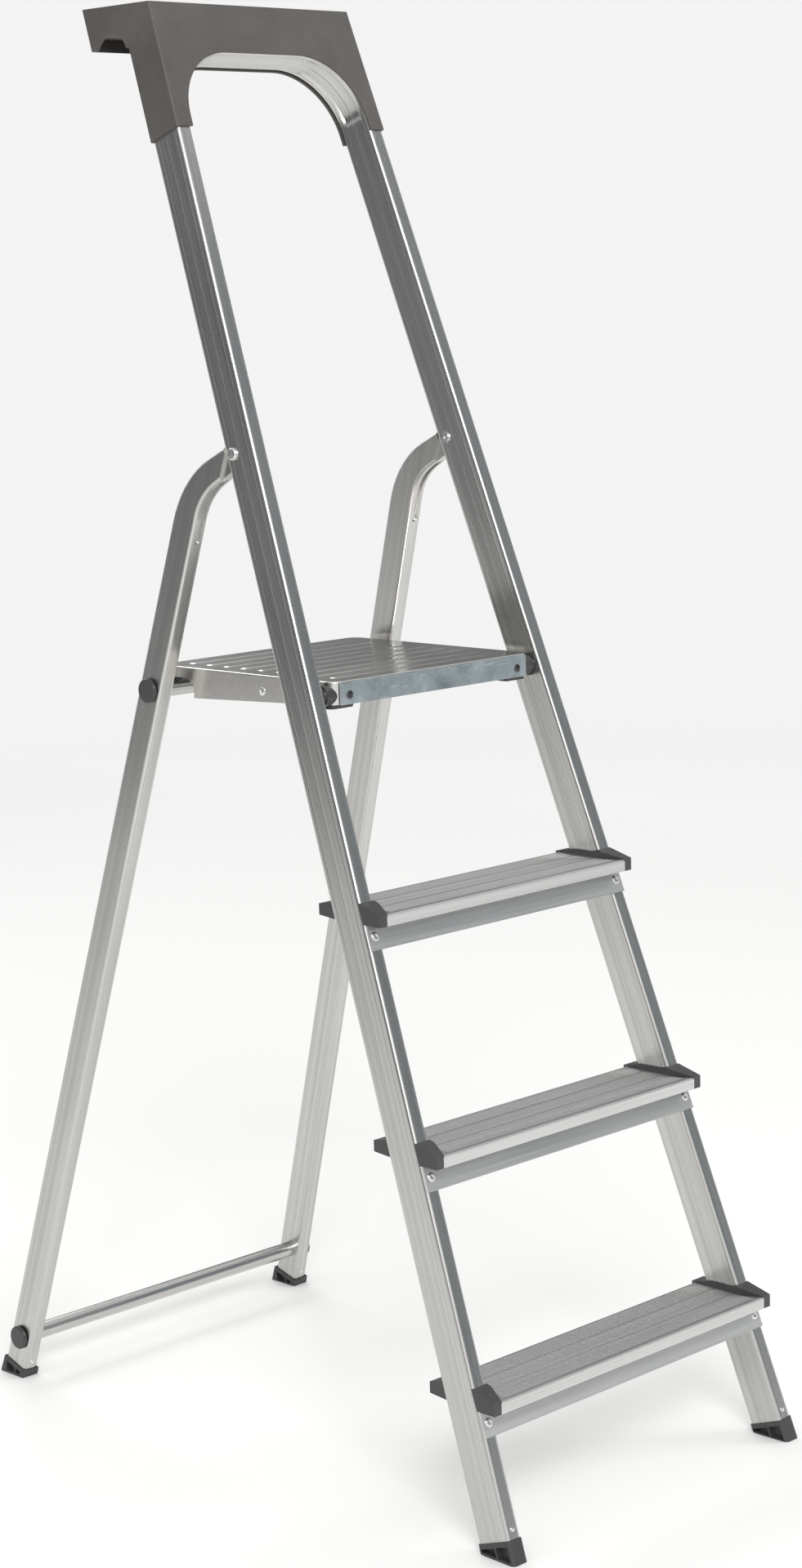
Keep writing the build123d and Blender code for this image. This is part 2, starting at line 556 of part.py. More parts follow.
with BuildPart() as strip_rivets:
    with BuildSketch(front_face.offset(STRIP_T)):
        with Locations(*STRIP_RIVETS):
            Circle(RIVET_HEAD_R - 0.4)
    extrude(amount=1.2)
    fillet(strip_rivets.edges().group_by(Axis.Y)[0], 0.8)
    with BuildSketch(front_face.offset(STRIP_T)):
        with Locations(*STRIP_RIVETS):
            Circle(RIVET_SHANK_R)
    extrude(amount=-STRIP_T - DECK_T - 0.8)
    with BuildSketch(front_face.offset(STRIP_T + 1.2)):
        with Locations(*STRIP_RIVETS):
            Circle(RIVET_SHANK_R * 0.7)
    extrude(amount=-2.0, mode=Mode.SUBTRACT)
finish(strip_rivets, "strip_rivets")

with BuildPart() as brace:
    with BuildSketch(SIDE.offset(-(DECK_HALF - DECK_T))):
        with Locations((BRACE_Y, DECK_Z - DECK_T - BRACE_H / 2)):
            Rectangle(BRACE_W, BRACE_H)
            with Locations((0, -BRACE_T)):
                Rectangle(BRACE_W - 2 * BRACE_T, BRACE_H, mode=Mode.SUBTRACT)
    extrude(amount=2 * (DECK_HALF - DECK_T))
    for _, side in SIDES:
        with BuildSketch(SIDE.offset(side * (DECK_HALF - DECK_T))):
            with Locations((BRACE_Y, DECK_Z - DECK_T - BRACE_H / 2)):
                Rectangle(BRACE_W - 2 * BRACE_T, BRACE_H)
            with Locations((BRACE_Y, BRACE_Z)):
                Circle(2.0, mode=Mode.SUBTRACT)
        extrude(amount=-side * BRACE_T)
finish(brace, "deck_brace")

with BuildPart() as brace_rivets:
    for _, side in SIDES:
        x0 = side * DECK_HALF
        add(round_x(BRACE_Y, BRACE_Z, x0, x0 + side * 1.5, 4.4))
        add(round_x(BRACE_Y, BRACE_Z, x0 - side * 4, x0 + side * 0.5, 2.0))
    caps = brace_rivets.edges().filter_by(GeomType.CIRCLE).sort_by(Axis.X)
    fillet([caps[0], caps[-1]], 0.9)
finish(brace_rivets, "brace_rivets")

BEARING_IN, BEARING_OUT = 112.0, 149.0
for tag, side in SIDES:
    with BuildPart() as bearing:
        with BuildSketch(SIDE.offset(side * BEARING_IN)):
            Polygon((DECK_Y0 + DECK_T, 800), (DECK_Y0 + DECK_T, DECK_Z - DECK_T), (318, DECK_Z - DECK_T),
                    (318, 797), (312, 792), (296, 792), align=None)
        extrude(amount=side * (DECK_HALF - DECK_T - BEARING_IN))
        with BuildSketch(Plane.XY.offset(DECK_Z - DECK_SKIRT - 1)):
            with Locations((0, (DECK_Y0 + DECK_Y1) / 2 - Y_MID)):
                RectangleRounded(2 * (DECK_HALF - DECK_T), DECK_LEN - 2 * DECK_T, DECK_CORNER - DECK_T)
        extrude(amount=DECK_SKIRT + 1, mode=Mode.INTERSECT)
        add(round_x(FRONT_TUBE_Y, FRONT_TUBE_Z, side * (DECK_HALF - DECK_CORNER - 2),
                    side * BEARING_OUT, SIDE_HOLE_R))
        with BuildSketch(Plane.XY.offset(DECK_Z - DECK_T)):
            with Locations((side * DECK_HALF, FRONT_TUBE_Y - Y_MID)):
                Rectangle(30, 60)
        extrude(amount=10, mode=Mode.SUBTRACT)
        add(strip_rivets.part, mode=Mode.SUBTRACT)
        add(round_x(FRONT_TUBE_Y, FRONT_TUBE_Z, side * (BEARING_IN - 1), side * (BEARING_OUT + 1),
                    BORE_R), mode=Mode.SUBTRACT)
    finish(bearing, f"bearing_{tag}")

SADDLE_IN, SADDLE_OUT, SADDLE_GAP = 108.0, 143.4, 0.3
tube_y = leg_mid_y(UPPER_TUBE_Z)
for tag, side in SIDES:
    with BuildPart() as saddle:
        with BuildSketch(SIDE.offset(side * SADDLE_IN)):
            Polygon((520, DECK_Z - DECK_T), (551, DECK_Z - DECK_T), (553, 806), (552, 789),
                    (548.5, 789), (548.5, 797), (531, 803), (524, 806), align=None)
        extrude(amount=side * (SADDLE_OUT - SADDLE_IN))
        with BuildSketch(Plane.XY.offset(DECK_Z - DECK_SKIRT - 1)):
            with Locations((0, (DECK_Y0 + DECK_Y1) / 2 - Y_MID)):
                RectangleRounded(2 * (DECK_HALF - DECK_T), DECK_LEN - 2 * DECK_T, DECK_CORNER - DECK_T)
        extrude(amount=DECK_SKIRT + 1, mode=Mode.INTERSECT)
        add(round_x(tube_y, UPPER_TUBE_Z, side * (SADDLE_IN - 1), side * (SADDLE_OUT + 1),
                    TUBE_R + SADDLE_GAP), mode=Mode.SUBTRACT)
    finish(saddle, f"saddle_{tag}")

# ------------------------------------------------------------------ hood with tool tray
HOOD_EDGE_R, RIM, BRIM = 3.0, 2.4, 44.0
ARCH_FROM, ARCH_TOP, ARCH_TO, ARCH_RISE = 50.0, 79.0, 98.0, 16.0
TRAY_RIBS = 4
BRACKET_R = 3.4
hood_top_v = (HOOD_TOP + 2 * BRIM) / cos(A_LEAN)


def hood_x(v, inset=0.0):
    return plane_x(v) + HOOD_T - inset


def hood_outline(inset, low, high):
    return [(-hood_x(low, inset), low), (hood_x(low, inset), low),
            (hood_x(high, inset), high), (-hood_x(high, inset), high)]


def level_box(z_low, z_high, depth0, depth1, inset, corner):
    """Block between two heights whose walls follow the lean and the taper of the stiles."""
    with BuildPart() as block:
        with BuildSketch(FRONT.offset(-depth0)):
            Polygon(*hood_outline(inset, 1300, hood_top_v), align=None)
        extrude(amount=-(depth1 - depth0))
        uprights = [e for e in block.edges() if abs(e.length - (depth1 - depth0)) > 1
                    and e.length > 100 and abs(FRONT.to_local_coords(e.center()).X) > 50]
        if corner:
            fillet(uprights, corner)
        with BuildSketch(Plane.XY.offset(z_low)):
            Rectangle(4 * HALF_WIDTH, 4 * FOOT_SPREAD)
        extrude(amount=z_high - z_low, mode=Mode.INTERSECT)
    return block.part


def bow_block(grow_out, grow_in, depth0, depth1):
    """U-shaped block that follows the bow in the stiles' plane."""
    with BuildPart() as block:
        with BuildSketch(FRONT.offset(-depth0)):
            make_face(bow_outline(STILE_W / 2 + grow_out))
            make_face(bow_outline(-STILE_W / 2 - grow_in), mode=Mode.SUBTRACT)
        extrude(amount=-(depth1 - depth0))
    return block.part


low_cut = Plane(origin=FRONT.from_local_coords((0, HOOD_LOW, 0)), x_dir=(1, 0, 0), z_dir=FRONT.y_dir)
BRIM_Z = HOOD_TOP - BRIM
with BuildPart() as hood:
    add(level_box(1300, HOOD_TOP, -HOOD_T, STILE_D + HOOD_T, 0, HOOD_EDGE_R))
    with BuildSketch(low_cut):
        Rectangle(4 * HALF_WIDTH, 4 * HALF_WIDTH)
    extrude(amount=-400, mode=Mode.SUBTRACT)
    add(level_box(BRIM_Z, HOOD_TOP, -HOOD_T, HOOD_DEPTH + HOOD_T, 0, HOOD_EDGE_R))
    with BuildSketch(FRONT.offset(2 * HOOD_T)):
        make_face(bow_outline(-STILE_W / 2 - 1))
    extrude(amount=-4 * STILE_D, mode=Mode.SUBTRACT)
    add(level_box(TRAY_FLOOR_Z, HOOD_TOP + 1, 0.5, HOOD_DEPTH, HOOD_T, HOOD_EDGE_R),
        mode=Mode.SUBTRACT)
    add(level_box(BRIM_Z - 5, TRAY_FLOOR_Z - RIM, STILE_D + HOOD_T, HOOD_DEPTH, HOOD_T, 0),
        mode=Mode.SUBTRACT)
    for i in range(TRAY_RIBS):
        with BuildSketch(SIDE.offset(-90 + i * 60 - 1)):
            Polygon((front_y(BRIM_Z) + 50, TRAY_FLOOR_Z - RIM), (front_y(BRIM_Z) + 50, TRAY_FLOOR_Z - 16),
                    (front_y(BRIM_Z) + HOOD_DEPTH + 4, TRAY_FLOOR_Z - 7),
                    (front_y(BRIM_Z) + HOOD_DEPTH + 4, TRAY_FLOOR_Z - RIM), align=None)
        extrude(amount=2)
    add(bow_block(0, 2, 0, STILE_D), mode=Mode.SUBTRACT)
    with BuildSketch(SIDE.offset(-2 * HALF_WIDTH)):
        z0 = BRIM_Z - 1
        y0, y1, y2 = (front_y(z0) + depth for depth in (ARCH_FROM, ARCH_TOP, ARCH_TO))
        with BuildLine(Plane.XY) as arch:
            ThreePointArc((y0, z0), (y1, z0 + ARCH_RISE), (y2, z0))
            Line((y2, z0), (y0, z0))
        make_face(arch.edges())
    extrude(amount=4 * HALF_WIDTH, mode=Mode.SUBTRACT)
HOOD_SCREWS = [(side * (plane_x(1480) - STILE_W / 2), 1480) for _, side in SIDES]
with BuildPart() as hood_screws:
    with BuildSketch(FRONT.offset(-STILE_D - HOOD_T)):
        with Locations(*HOOD_SCREWS):
            Circle(BRACKET_R)
    extrude(amount=-1.6)
    with BuildSketch(FRONT.offset(-STILE_D - HOOD_T)):
        with Locations(*HOOD_SCREWS):
            Circle(1.6)
    extrude(amount=HOOD_T + 7)
    with BuildSketch(FRONT.offset(-STILE_D - HOOD_T - 1.6)):
        with Locations(*HOOD_SCREWS):
            RegularPolygon(1.5, 6)
    extrude(amount=1.1, mode=Mode.SUBTRACT)
with BuildPart() as screw_holes:
    with BuildSketch(FRONT.offset(-STILE_D - HOOD_T - 1)):
        with Locations(*HOOD_SCREWS):
            Circle(1.6)
    extrude(amount=HOOD_T + 9)
with hood:
    add(screw_holes.part, mode=Mode.SUBTRACT)
finish(hood, "hood")
finish(hood_screws, "hood_screws")

# ------------------------------------------------------------------ small rivets above the feet
FOOT_RIVET_R, FOOT_RIVET_V, LEG_RIVET_V = 2.4, 33.4, 17.5
with BuildPart() as foot_rivets_front:
    for _, side in SIDES:
        spot = Plane(origin=stile_plane(side).from_local_coords((0, FOOT_RIVET_V, STILE_D / 2)),
                     x_dir=stile_plane(side).x_dir, z_dir=FRONT.z_dir)
        with BuildSketch(spot):
            Circle(FOOT_RIVET_R)
        extrude(amount=0.8)
        with BuildSketch(spot):
            Circle(1.4)
        extrude(amount=-7)
with BuildPart() as foot_rivets_rear:
    for _, side in SIDES:
        face = leg_face(leg_plane(side), LEG_RIVET_V)
        with BuildSketch(face):
            Circle(FOOT_RIVET_R)
        extrude(amount=0.8)
        with BuildSketch(face):
            Circle(1.4)
        extrude(amount=-6)
finish(foot_rivets_front, "foot_rivets_front")
finish(foot_rivets_rear, "foot_rivets_rear")

# ------------------------------------------------------------------ holes for the small hardware
with stile_bow:
    for hardware in (tread_rivets, hood_screws, foot_rivets_front):
        add(hardware.part, mode=Mode.SUBTRACT)
finish(stile_bow, "stile_bow")
for tag, _ in SIDES:
    for solid, hardware, name in ((legs[tag], foot_rivets_rear, f"leg_{tag}"),
                                  (rear_feet[tag], foot_rivets_rear, f"foot_rear_{tag}"),
                                  (front_feet[tag], foot_rivets_front, f"foot_front_{tag}")):
        with solid:
            add(hardware.part, mode=Mode.SUBTRACT)
        finish(solid, name)
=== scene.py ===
"""Looks of a folding platform step ladder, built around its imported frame."""

import bmesh
import bpy
from math import atan, cos, pi, radians, sin, tan
from mathutils import Matrix, Vector


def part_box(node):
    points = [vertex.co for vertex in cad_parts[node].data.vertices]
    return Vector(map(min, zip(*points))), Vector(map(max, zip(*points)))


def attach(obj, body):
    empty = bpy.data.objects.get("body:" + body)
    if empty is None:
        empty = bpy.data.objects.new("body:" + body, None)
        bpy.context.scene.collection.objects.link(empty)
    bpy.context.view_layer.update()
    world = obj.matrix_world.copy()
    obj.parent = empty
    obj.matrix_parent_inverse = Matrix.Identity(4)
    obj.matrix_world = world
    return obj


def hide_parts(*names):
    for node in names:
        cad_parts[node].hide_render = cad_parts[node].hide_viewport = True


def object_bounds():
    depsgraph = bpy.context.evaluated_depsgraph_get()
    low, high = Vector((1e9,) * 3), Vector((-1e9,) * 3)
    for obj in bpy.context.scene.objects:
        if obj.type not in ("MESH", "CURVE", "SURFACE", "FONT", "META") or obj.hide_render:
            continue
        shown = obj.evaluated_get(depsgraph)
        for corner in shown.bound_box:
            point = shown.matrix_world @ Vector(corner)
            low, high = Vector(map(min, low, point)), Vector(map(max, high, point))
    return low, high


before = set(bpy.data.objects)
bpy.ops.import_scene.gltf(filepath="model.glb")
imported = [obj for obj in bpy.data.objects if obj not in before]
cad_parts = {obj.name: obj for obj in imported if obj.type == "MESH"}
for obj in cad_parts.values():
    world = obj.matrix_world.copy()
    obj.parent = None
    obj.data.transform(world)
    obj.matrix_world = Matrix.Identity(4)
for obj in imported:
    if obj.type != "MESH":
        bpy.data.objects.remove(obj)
CAD_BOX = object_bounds()

bl_info = {
    "name": "Platform Step Ladder",
    "version": (1, 0, 0),
    "blender": (4, 5, 0),
    "location": "View3D > Sidebar > Ladder",
    "description": "Builds the finished pieces of a platform step ladder around its frame",
    "category": "Add Mesh",
}

MM = 0.001
FRONT, REAR, DECK = "front_frame", "rear_frame", "platform"
SIDES = (("l", -1), ("r", 1))
LEVELS = ("low", "mid", "top")


# ------------------------------------------------------------------ lie of the two frames
LEAN = 0.3585       # how far back a stile goes for each unit of height
SPLAY = 0.3063      # how far forward a rear leg goes for each unit of height
TAPER = 0.0532      # how far in each side goes for each unit of height
A_LEAN, A_SPLAY = atan(LEAN), atan(SPLAY)
A_PLANE = atan(TAPER * cos(A_LEAN))
FOOT_FRONT = CAD_BOX[0].y
STILE_W, STILE_D = 18 * MM, 42 * MM
FOOT_WALL = 1.4 * MM
HALF_WIDTH = 216.8 * MM
TUBE_START = 21 * MM        # along the stiles, where the tubes end inside their feet
LINE_STEP, LINE_HALF = 6.5 * MM, 0.7 * MM      # die lines: from one to the next, and half a line's width
LINES_FROM, LINES_TO = 16.8 * MM, 17.2 * MM    # the die lines fade out before the corners
SECTION_POINTS = 216
PRESS_IN, PRESS_OUT = (0.06, 0.22), (0.86, 0.999)   # turn of the tube where a hollow starts and ends
BEAD_RISE = 1.2 * MM        # height of the CAD's beads, which the sheet is cut down by
BEAD_SINK = 0.02 * MM       # a bead's rim lies this far under the sheet
DECK_RIM = 13 * MM          # plain rim in front of the first bead and behind the last
FIRST_RIB = 9 * MM          # from a tread's front edge to its first rib
FLOOR_POINT = Vector((0, FOOT_FRONT + FOOT_WALL / cos(A_LEAN), 0))

# square to the stiles' plane: x across, y up the stiles, z towards the climber
STILE_SPACE = Matrix.Translation(FLOOR_POINT) @ Matrix((
    (1, 0, 0, 0), (0, sin(A_LEAN), -cos(A_LEAN), 0), (0, cos(A_LEAN), sin(A_LEAN), 0), (0, 0, 0, 1)))


# ------------------------------------------------------------------ sizes and colours a user would change
class LadderStage(bpy.types.PropertyGroup):
    """Studio around the ladder."""
    floor: bpy.props.FloatVectorProperty(name="Floor", description="Colour of the floor", subtype="COLOR",
                                         default=(0.80, 0.80, 0.79), size=3)
    surround: bpy.props.FloatProperty(name="Surround", description="Brightness of the pale surround",
                                      default=0.90, min=0)
    key: bpy.props.FloatProperty(name="Key light", description="Power of the large front light",
                                 default=150, min=0, unit="POWER")
    fill: bpy.props.FloatProperty(name="Fill light", description="Power of the light from the right",
                                  default=40, min=0, unit="POWER")
    heading: bpy.props.FloatProperty(name="Heading", description="Camera's turn about the upright",
                                     default=radians(-44.192), subtype="ANGLE")
    pitch: bpy.props.FloatProperty(name="Pitch", description="Camera's tilt below level",
                                   default=radians(-9.418), subtype="ANGLE")
    roll: bpy.props.FloatProperty(name="Roll", description="Camera's turn about its own axis",
                                  default=radians(-1.719), subtype="ANGLE")
    stand: bpy.props.FloatVectorProperty(name="Camera place", description="Where the camera stands", size=3,
                                         default=(-2.1609, -2.2785, 1.2072), subtype="TRANSLATION",
                                         unit="LENGTH")
    lens: bpy.props.FloatProperty(name="Lens", description="Focal length in millimetres for a 36 mm sensor",
                                  default=69.0, min=10)


class LadderFinish(bpy.types.PropertyGroup):
    """Colours of the ladder's finishes."""
    stile: bpy.props.FloatVectorProperty(name="Stile", description="Extruded aluminium of the stiles",
                                         subtype="COLOR", default=(0.56, 0.555, 0.54), size=3)
    tread: bpy.props.FloatVectorProperty(name="Tread", description="Extruded aluminium of the treads",
                                         subtype="COLOR", default=(0.66, 0.66, 0.65), size=3)
    sheet: bpy.props.FloatVectorProperty(name="Platform", description="Rolled sheet of the platform",
                                         subtype="COLOR", default=(0.70, 0.685, 0.65), size=3)
    zinc: bpy.props.FloatVectorProperty(name="Strip", description="Zinc plated front strip",
                                        subtype="COLOR", default=(0.36, 0.41, 0.43), size=3)
    rivet: bpy.props.FloatVectorProperty(name="Rivet", description="Bright set rivets", subtype="COLOR",
                                         default=(0.78, 0.78, 0.77), size=3)
    hood: bpy.props.FloatVectorProperty(name="Hood", description="Grained plastic of the hood",
                                        subtype="COLOR", default=(0.070, 0.064, 0.060), size=3)
    fitting: bpy.props.FloatVectorProperty(name="Fittings", description="Plastic of caps, feet and blocks",
                                           subtype="COLOR", default=(0.042, 0.040, 0.042), size=3)


class LadderBow(bpy.types.PropertyGroup):
    """Tube of the stiles and the bow."""
    top: bpy.props.FloatProperty(name="Bow top", description="Up the stiles to the middle of the top run",
                                 default=1550 * MM, unit="LENGTH")
    bend: bpy.props.FloatProperty(name="Bend radius", description="Radius of the tube's middle line",
                                  default=84 * MM, unit="LENGTH")
    corner: bpy.props.FloatProperty(name="Corner radius", description="Rounding of the tube's section",
                                    default=3.5 * MM, unit="LENGTH")
    press: bpy.props.FloatProperty(name="Press depth", description="Depth of the hollow pressed in each bend",
                                   default=3.2 * MM, unit="LENGTH")
    press_width: bpy.props.FloatProperty(name="Press width", description="Width of the pressed hollow",
                                         default=29 * MM, unit="LENGTH")
    line: bpy.props.FloatProperty(name="Die line", description="Depth of the lines along the wide faces",
                                  default=0.22 * MM, unit="LENGTH")


class LadderTread(bpy.types.PropertyGroup):
    """Ribs on top of the treads, in bands with a plain strip between."""
    rib_width: bpy.props.FloatProperty(name="Rib width", description="Width of one rib",
                                       default=1.25 * MM, unit="LENGTH")
    rib_height: bpy.props.FloatProperty(name="Rib height", description="Height of one rib",
                                        default=0.6 * MM, unit="LENGTH")
    pitch: bpy.props.FloatProperty(name="Rib pitch", description="From one rib to the next",
                                   default=2.9 * MM, unit="LENGTH")
    count: bpy.props.IntProperty(name="Ribs", description="Ribs in one band", default=8, min=1)
    bands: bpy.props.IntProperty(name="Bands", description="Bands of ribs on a tread", default=3, min=1)


class LadderDeck(bpy.types.PropertyGroup):
    """Raised beads on the platform."""
    count: bpy.props.IntProperty(name="Beads", description="Number of beads", default=9, min=1)
    width: bpy.props.FloatProperty(name="Bead width", description="Width of a bead", default=13 * MM,
                                   unit="LENGTH")
    length: bpy.props.FloatProperty(name="Bead length", description="Length of a bead", default=246 * MM,
                                    unit="LENGTH")
    height: bpy.props.FloatProperty(name="Bead height", description="Height of a bead", default=0.8 * MM,
                                    unit="LENGTH")


# ------------------------------------------------------------------ node trees
class Nodes:
    """Adds nodes to a tree. An input is a value, a node's output, or a node for its first output."""

    def __init__(self, tree):
        self.tree = tree

    def add(self, kind, inputs=None, **settings):
        node = self.tree.nodes.new(kind)
        for key, value in settings.items():
            setattr(node, key, value)
        for key, value in (inputs or {}).items():
            self.put(node.inputs[key], value)
        return node

    def put(self, socket, value):
        if isinstance(value, bpy.types.Node):
            value = value.outputs[0]
        if isinstance(value, bpy.types.NodeSocket):
            self.tree.links.new(value, socket)
        else:
            socket.default_value = value

    def math(self, operation, *values):
        return self.add("ShaderNodeMath", dict(enumerate(values)), operation=operation).outputs[0]

    def vector(self, operation, *values):
        return self.add("ShaderNodeVectorMath", dict(enumerate(values)), operation=operation).outputs[0]

    def length(self, value):
        return self.add("ShaderNodeVectorMath", {0: value}, operation="LENGTH").outputs["Value"]

    def ramp(self, value, low, high, to_low=0.0, to_high=1.0, smooth=False):
        return self.add("ShaderNodeMapRange", {"Value": value, "From Min": low, "From Max": high,
                                               "To Min": to_low, "To Max": to_high},
                        interpolation_type="SMOOTHSTEP" if smooth else "LINEAR").outputs[0]


# ------------------------------------------------------------------ finishes
class Finish(Nodes):
    """Material with a Principled shader, read in the ladder's own space."""

    def __init__(self, name, metallic, roughness, specular=0.5):
        self.material = bpy.data.materials.new(name)
        self.material.use_nodes = True
        super().__init__(self.material.node_tree)
        self.shader = self.tree.nodes["Principled BSDF"]
        for key, value in (("Metallic", metallic), ("Roughness", roughness),
                           ("Specular IOR Level", specular)):
            self.shader.inputs[key].default_value = value
        self.place = self.add("ShaderNodeTexCoord").outputs["Object"]

    def noise(self, place, scale, detail=3.0, rough=0.55, shift=0.0):
        return self.add("ShaderNodeTexNoise", {"Vector": place, "W": shift, "Scale": scale, "Detail": detail,
                                               "Roughness": rough}, noise_dimensions="4D").outputs["Fac"]

    def mix(self, factor, first, second):
        return self.add("ShaderNodeMix", {"Factor": factor, 6: first, 7: second}, data_type="RGBA").outputs[2]

    def shades(self, factor, *stops):
        """Colour ramp from (position, colour) stops."""
        node = self.add("ShaderNodeValToRGB", {"Fac": factor})
        ramp = node.color_ramp
        while len(ramp.elements) < len(stops):
            ramp.elements.new(0.5)
        for element, (position, colour) in zip(ramp.elements, stops):
            element.position = position
            element.color = (*colour, 1)
        return node.outputs["Color"]

    def bump(self, height, depth, strength=1.0, under=None):
        inputs = {"Height": height, "Distance": depth, "Strength": strength}
        if under is not None:
            inputs["Normal"] = under
        return self.add("ShaderNodeBump", inputs).outputs["Normal"]

    def apply(self, colour=None, roughness=None, normal=None):
        for key, value in (("Base Color", colour), ("Roughness", roughness), ("Normal", normal)):
            if value is not None:
                self.put(self.shader.inputs[key], value)
        return self.material


def tinted(colour, factor):
    """A lighter or darker tone of a colour."""
    return tuple(min(1.0, channel * factor) for channel in colour)


def grain_up(finish, angle):
    """Space whose z runs along members that lean by this angle, the same on both sides of the ladder."""
    turned = finish.add("ShaderNodeVectorRotate", {"Vector": finish.place, "Angle": angle},
                        rotation_type="X_AXIS").outputs[0]
    parts = finish.add("ShaderNodeSeparateXYZ", {0: turned})
    across = finish.math("ADD", finish.math("ABSOLUTE", parts.outputs[0]),
                         finish.math("MULTIPLY", parts.outputs[2], tan(A_PLANE)))
    side = finish.math("SIGN", parts.outputs[0])
    return finish.add("ShaderNodeCombineXYZ", {0: across, 1: parts.outputs[1], 2: parts.outputs[2]}), side


def metal(name, colour, roughness, space, stretch, shift=0.0, contrast=1.0, scratch=1.0):
    """Rolled or extruded metal with lines along the grain, bands, smudges and a few scratches."""
    finish = Finish(name, 1.0, roughness)
    place, side = space(finish)
    shift = finish.math("ADD", finish.math("MULTIPLY", side, 3.7), shift) if side is not None else shift
    drawn = finish.vector("MULTIPLY", place, stretch)
    lines = finish.noise(drawn, 1500, 2, 0.6, shift)
    bands = finish.noise(drawn, 210, 2, 0.5, shift)
    softer = finish.vector("MULTIPLY", place, tuple(0.3 + 0.7 * s for s in stretch))
    smudge = finish.noise(softer, 14, 3, 0.5, shift)
    shorter = finish.vector("MULTIPLY", place, tuple(0.15 + 0.85 * s for s in stretch))
    marks = finish.noise(shorter, 520, 1, 0.4, shift)
    mark = finish.ramp(marks, 0.78, 0.82)
    tone = finish.math("ADD", finish.math("MULTIPLY", bands, 0.65), finish.math("MULTIPLY", lines, 0.35))
    base = finish.shades(tone, (0.30, tinted(colour, 1 - 0.20 * contrast)), (0.50, colour),
                         (0.68, tinted(colour, 1 + 0.16 * contrast)))
    base = finish.mix(finish.ramp(smudge, 0.45, 0.8, 0, 0.22), base, (*tinted(colour, 0.76), 1))
    base = finish.mix(finish.math("MULTIPLY", mark, 0.5 * scratch), base, (*tinted(colour, 1.4), 1))
    rough = finish.math("ADD", finish.ramp(lines, 0.3, 0.7, roughness * 0.88, roughness * 1.12),
                        finish.ramp(smudge, 0.4, 0.75, -0.02, 0.05))
    height = finish.math("ADD", finish.math("MULTIPLY", lines, 0.5), finish.math("MULTIPLY", bands, 0.8))
    normal = finish.bump(height, 0.00005, 0.16 * contrast)
    normal = finish.bump(mark, 0.00003, -0.3 * scratch, normal)
    return finish.apply(base, rough, normal)


def along_x(finish):
    """The ladder's own space, for pieces that run across it."""
    return finish.place, None


def along_leg(finish):
    """Space whose z runs along the rear legs."""
    return grain_up(finish, -A_SPLAY)


def along_tube(finish):
    """Space of the bow's own map: x round the section, z along the tube."""
    run = finish.add("ShaderNodeUVMap", uv_map="run").outputs[0]
    parts = finish.add("ShaderNodeSeparateXYZ", {0: run})
    return finish.add("ShaderNodeCombineXYZ", {0: parts.outputs[0], 2: parts.outputs[1]}), None


def zinc_plate(name, colour):
    """Zinc plated sheet: cloudy, speckled, with thin scratches."""
    finish = Finish(name, 1.0, 0.45)
    place = finish.place
    cloud = finish.noise(place, 38, 5, 0.65)
    speckle = finish.noise(place, 900, 2, 0.7)
    slant = finish.vector("MULTIPLY", place, (0.05, 1, 1))
    scratch = finish.ramp(finish.noise(slant, 900, 1, 0.3, 2.0), 0.70, 0.74)
    base = finish.shades(cloud, (0.3, tinted(colour, 0.72)), (0.55, colour), (0.75, tinted(colour, 1.25)))
    base = finish.mix(finish.ramp(speckle, 0.5, 0.75, 0, 0.5), base, (*tinted(colour, 1.5), 1))
    base = finish.mix(finish.math("MULTIPLY", scratch, 0.6), base, (*tinted(colour, 1.9), 1))
    rough = finish.ramp(cloud, 0.3, 0.75, 0.32, 0.58)
    normal = finish.bump(speckle, 0.00005, 0.3)
    return finish.apply(base, rough, normal)


def moulded(name, colour, roughness, grain, depth, wear=1.0):
    """Moulded plastic with a fine even grain, faint flow marks, dust and scuffs."""
    finish = Finish(name, 0.0, roughness, specular=0.45)
    place = finish.place
    pits = finish.add("ShaderNodeTexVoronoi", {"Vector": place, "Scale": grain}, feature="SMOOTH_F1")
    cloud = finish.noise(place, 16, 4, 0.6)
    fine = finish.noise(place, 520, 3, 0.6)
    dust = finish.ramp(finish.noise(place, 330, 1, 0.4, 5.0), 0.76, 0.82)
    drag = finish.vector("MULTIPLY", place, (1, 0.25, 0.12))
    scuff = finish.ramp(finish.noise(drag, 260, 2, 0.5, 9.0), 0.66, 0.80)
    tone = finish.math("ADD", finish.math("MULTIPLY", cloud, 0.6), finish.math("MULTIPLY", fine, 0.4))
    base = finish.shades(tone, (0.32, tinted(colour, 0.80)), (0.52, colour), (0.70, tinted(colour, 1.28)))
    base = finish.mix(finish.math("MULTIPLY", scuff, 0.22 * wear), base, (*tinted(colour, 2.6), 1))
    base = finish.mix(finish.math("MULTIPLY", dust, 0.45 * wear), base, (*tinted(colour, 4.0), 1))
    rough = finish.math("ADD", finish.ramp(cloud, 0.3, 0.75, roughness * 0.88, roughness * 1.12),
                        finish.math("MULTIPLY", scuff, 0.10))
    normal = finish.bump(pits.outputs["Distance"], depth, 0.5)
    normal = finish.bump(fine, depth * 0.6, 0.35, normal)
    return finish.apply(base, rough, normal)


def turned(name, colour):
    """Upset metal of rivet heads, lightly spotted."""
    finish = Finish(name, 1.0, 0.26)
    spots = finish.noise(finish.place, 420, 3, 0.6)
    cloud = finish.noise(finish.place, 90, 2, 0.5, 4.0)
    base = finish.shades(spots, (0.3, tinted(colour, 0.78)), (0.55, colour), (0.75, tinted(colour, 1.2)))
    rough = finish.ramp(cloud, 0.3, 0.7, 0.18, 0.36)
    return finish.apply(base, rough, finish.bump(spots, 0.00008, 0.3))


ACROSS_X = (0.004, 1.0, 1.0)     # stretch of the grain along x
ALONG_Z = (1.0, 1.0, 0.0025)     # and along z
finishes = {}


